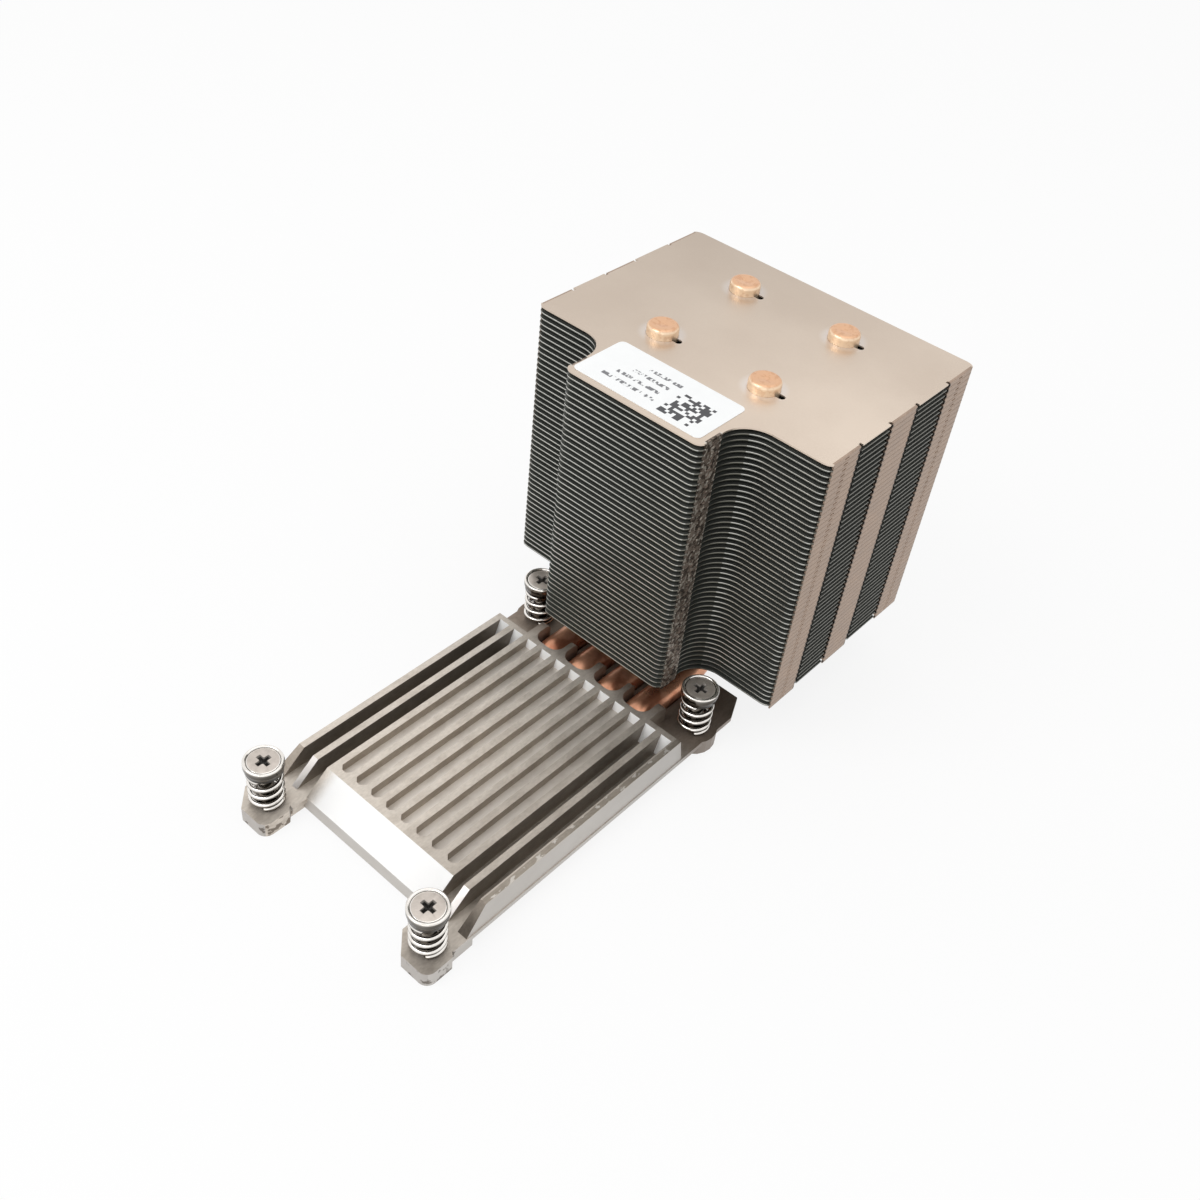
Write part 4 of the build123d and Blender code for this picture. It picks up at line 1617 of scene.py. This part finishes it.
@dataclass(frozen=True)
class PhotoView:
    """The camera of the photograph, in millimetres in the part frame.

    Attributes:
        place: Place of the camera.
        right: Its right direction.
        up: Its up direction.
        back: Its backward direction.
        lens: Focal length for the sensor.
        sensor: Width of the sensor.
    """

    place: Triple = (146.317, -158.765, 256.847)
    right: Triple = (0.7424805, 0.66300444, 0.09564424)
    up: Triple = (-0.50147805, 0.45547956, 0.73556654)
    back: Triple = (0.44411988, -0.5941073, 0.67066687)
    lens: float = 39.291
    sensor: float = 36.0

    def build(self) -> None:
        """Make the camera and set it as the scene's."""
        data = bpy.data.cameras.new("photo_view")
        data.lens = self.lens
        data.sensor_width = self.sensor
        data.clip_start = 0.01
        data.clip_end = 20.0
        camera = bpy.data.objects.new("photo_view", data)
        bpy.context.scene.collection.objects.link(camera)
        columns = [Vector(self.right), Vector(self.up), Vector(self.back), Vector(self.place) * MM]
        turned = Matrix([[column[row] for column in columns] for row in range(3)] + [[0.0, 0.0, 0.0, 1.0]])
        camera.matrix_world = turned
        bpy.context.scene.camera = camera


@dataclass(frozen=True)
class Lamp:
    """A soft square lamp that looks at the middle of the heatsink.

    Attributes:
        name: Name of the lamp.
        towards: Direction from the heatsink to the lamp.
        distance: Distance in metres.
        size: Side of the lamp in metres.
        power: Power in watts.
        aim: Point that it looks at, in metres.
    """

    name: str
    towards: Triple
    distance: float
    size: float
    power: float
    aim: Triple = (0.0, 0.03, 0.04)

    def build(self) -> Object:
        """Make the lamp.

        Returns:
            The lamp.
        """
        data = bpy.data.lights.new(self.name, "AREA")
        data.energy = self.power
        data.size = self.size
        lamp = bpy.data.objects.new(self.name, data)
        bpy.context.scene.collection.objects.link(lamp)
        direction = Vector(self.towards).normalized()
        lamp.location = Vector(self.aim) + direction * self.distance
        lamp.rotation_euler = direction.to_track_quat("Z", "Y").to_euler()
        return lamp


LAMPS = (
    Lamp("key_lamp", (-0.28, -0.60, 0.75), 0.9, 0.55, 2.5),
    Lamp("top_lamp", (0.1, 0.2, 1.0), 1.0, 0.8, 1.0),
    Lamp("front_lamp", (0.6, -0.9, 0.35), 1.0, 0.5, 0.4),
)


def background_rays(tree: NodeTree) -> Any:
    """Give 1 on the rays that show the background: from the camera, off metal and through glass.

    Args:
        tree: The node tree.

    Returns:
        The value socket.
    """
    rays = add_node(tree, "ShaderNodeLightPath").outputs
    direct = {0: rays["Is Camera Ray"], 1: rays["Is Glossy Ray"]}
    seen = add_node(tree, "ShaderNodeMath", direct, operation="MAXIMUM").outputs[0]
    through = {0: seen, 1: rays["Is Transmission Ray"]}
    return add_node(tree, "ShaderNodeMath", through, operation="MAXIMUM").outputs[0]


def world_light(zenith: float, horizon: float) -> None:
    """Light the scene with a sky that is brighter overhead, and white where it is seen.

    Args:
        zenith: Strength overhead, reached at about 45 degrees.
        horizon: Strength at the horizon.
    """
    full_at = 0.7
    world = bpy.data.worlds.new("studio")
    world.use_nodes = True
    tree = world.node_tree
    background = tree.nodes["Background"]
    background.inputs["Color"].default_value = WHITE
    ways = {"Vector": add_node(tree, "ShaderNodeTexCoord").outputs["Generated"]}
    height = add_node(tree, "ShaderNodeSeparateXYZ", ways).outputs["Z"]
    climb = {"Value": height, "From Min": 0.0, "From Max": full_at, "To Min": horizon, "To Max": zenith}
    ramp = add_node(tree, "ShaderNodeMapRange", climb, interpolation_type="SMOOTHSTEP")
    shares = {"Factor": background_rays(tree), "A": ramp.outputs["Result"], "B": 1.0}
    shown = add_node(tree, "ShaderNodeMix", shares)
    tree.links.new(shown.outputs["Result"], background.inputs["Strength"])
    bpy.context.scene.world = world


def floor() -> Object:
    """Lay a pale floor under the heatsink, near white where it is seen, that keeps a soft shadow.

    Returns:
        The floor.
    """
    half, drop = 6000.0, 0.05
    grey, roughness, glow_share = 0.9, 0.9, 0.85
    corners = ((-1, -1), (1, -1), (1, 1), (-1, 1))
    points = np.array([(half * x, half * y, -drop) for x, y in corners])
    material = bpy.data.materials.new("pale_floor")
    material.use_nodes = True
    tree = material.node_tree
    shader = tree.nodes["Principled BSDF"]
    shader.inputs["Base Color"].default_value = (grey, grey, grey, 1.0)
    shader.inputs["Roughness"].default_value = roughness
    shader.inputs["Specular IOR Level"].default_value = 0.0
    glow = add_node(tree, "ShaderNodeEmission", {"Color": WHITE, "Strength": 1.0})
    factors = {0: background_rays(tree), 1: glow_share}
    share = add_node(tree, "ShaderNodeMath", factors, operation="MULTIPLY")
    shades = {"Fac": share.outputs[0], 1: shader.outputs["BSDF"], 2: glow.outputs["Emission"]}
    both = add_node(tree, "ShaderNodeMixShader", shades)
    tree.links.new(both.outputs["Shader"], tree.nodes["Material Output"].inputs["Surface"])
    return mesh_object("floor", quads_mesh("floor", points, np.array([(0, 1, 2, 3)])), material)


def studio() -> None:
    """Set up the camera, the lamps, the world and the floor."""
    PhotoView().build()
    lamps = [lamp.build() for lamp in LAMPS]
    world_light(zenith=0.82, horizon=0.27)
    floor()
    bpy.context.scene.view_settings.view_transform = "Standard"


def main() -> None:
    """Dress the CAD frame with smooth pieces and finishes, and set up the studio."""
    logging.basicConfig(level=logging.INFO, format="%(message)s")
    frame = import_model()
    nodes = frame["nodes"]
    casting = casting_material()
    copper = copper_material()
    nickel = steel_material()
    face = finish_material(Surface.SCREW_FACE.value)
    recess = recess_shade_material()

    lanes = (("front", 15.4, 68.6), ("rear", 5.2, 101.8))
    pipes = {}
    for side in Side:
        for place, lane, riser in lanes:
            pipes[f"{side.name.lower()}_{place}_heat_pipe"] = HeatPipe(side, lane, riser)
    places = [(pipe.side.value * pipe.riser_x, pipe.riser_y) for pipe in pipes.values()]
    stack = FinStack()
    stack.build_sheets(places, sheet_material(places), fin_material())
    stack.build_tabs(strip_material())
    for node, pipe in pipes.items():
        pipe.build(node, copper)
    for corner in Corner:
        CaptiveScrew(corner).build(nickel, face, recess)
        paint(nodes[f"{corner.value[0]}_retaining_ring"], nickel)
    Label().build(paper_material())
    paint(nodes["base_casting"], casting)
    soften_edges(nodes["base_casting"], CASTING_EDGE)
    paint(nodes["cold_plate"], copper)
    soften_edges(nodes["cold_plate"], COLD_PLATE_EDGE)
    studio()


if __name__ == "__main__":
    main()
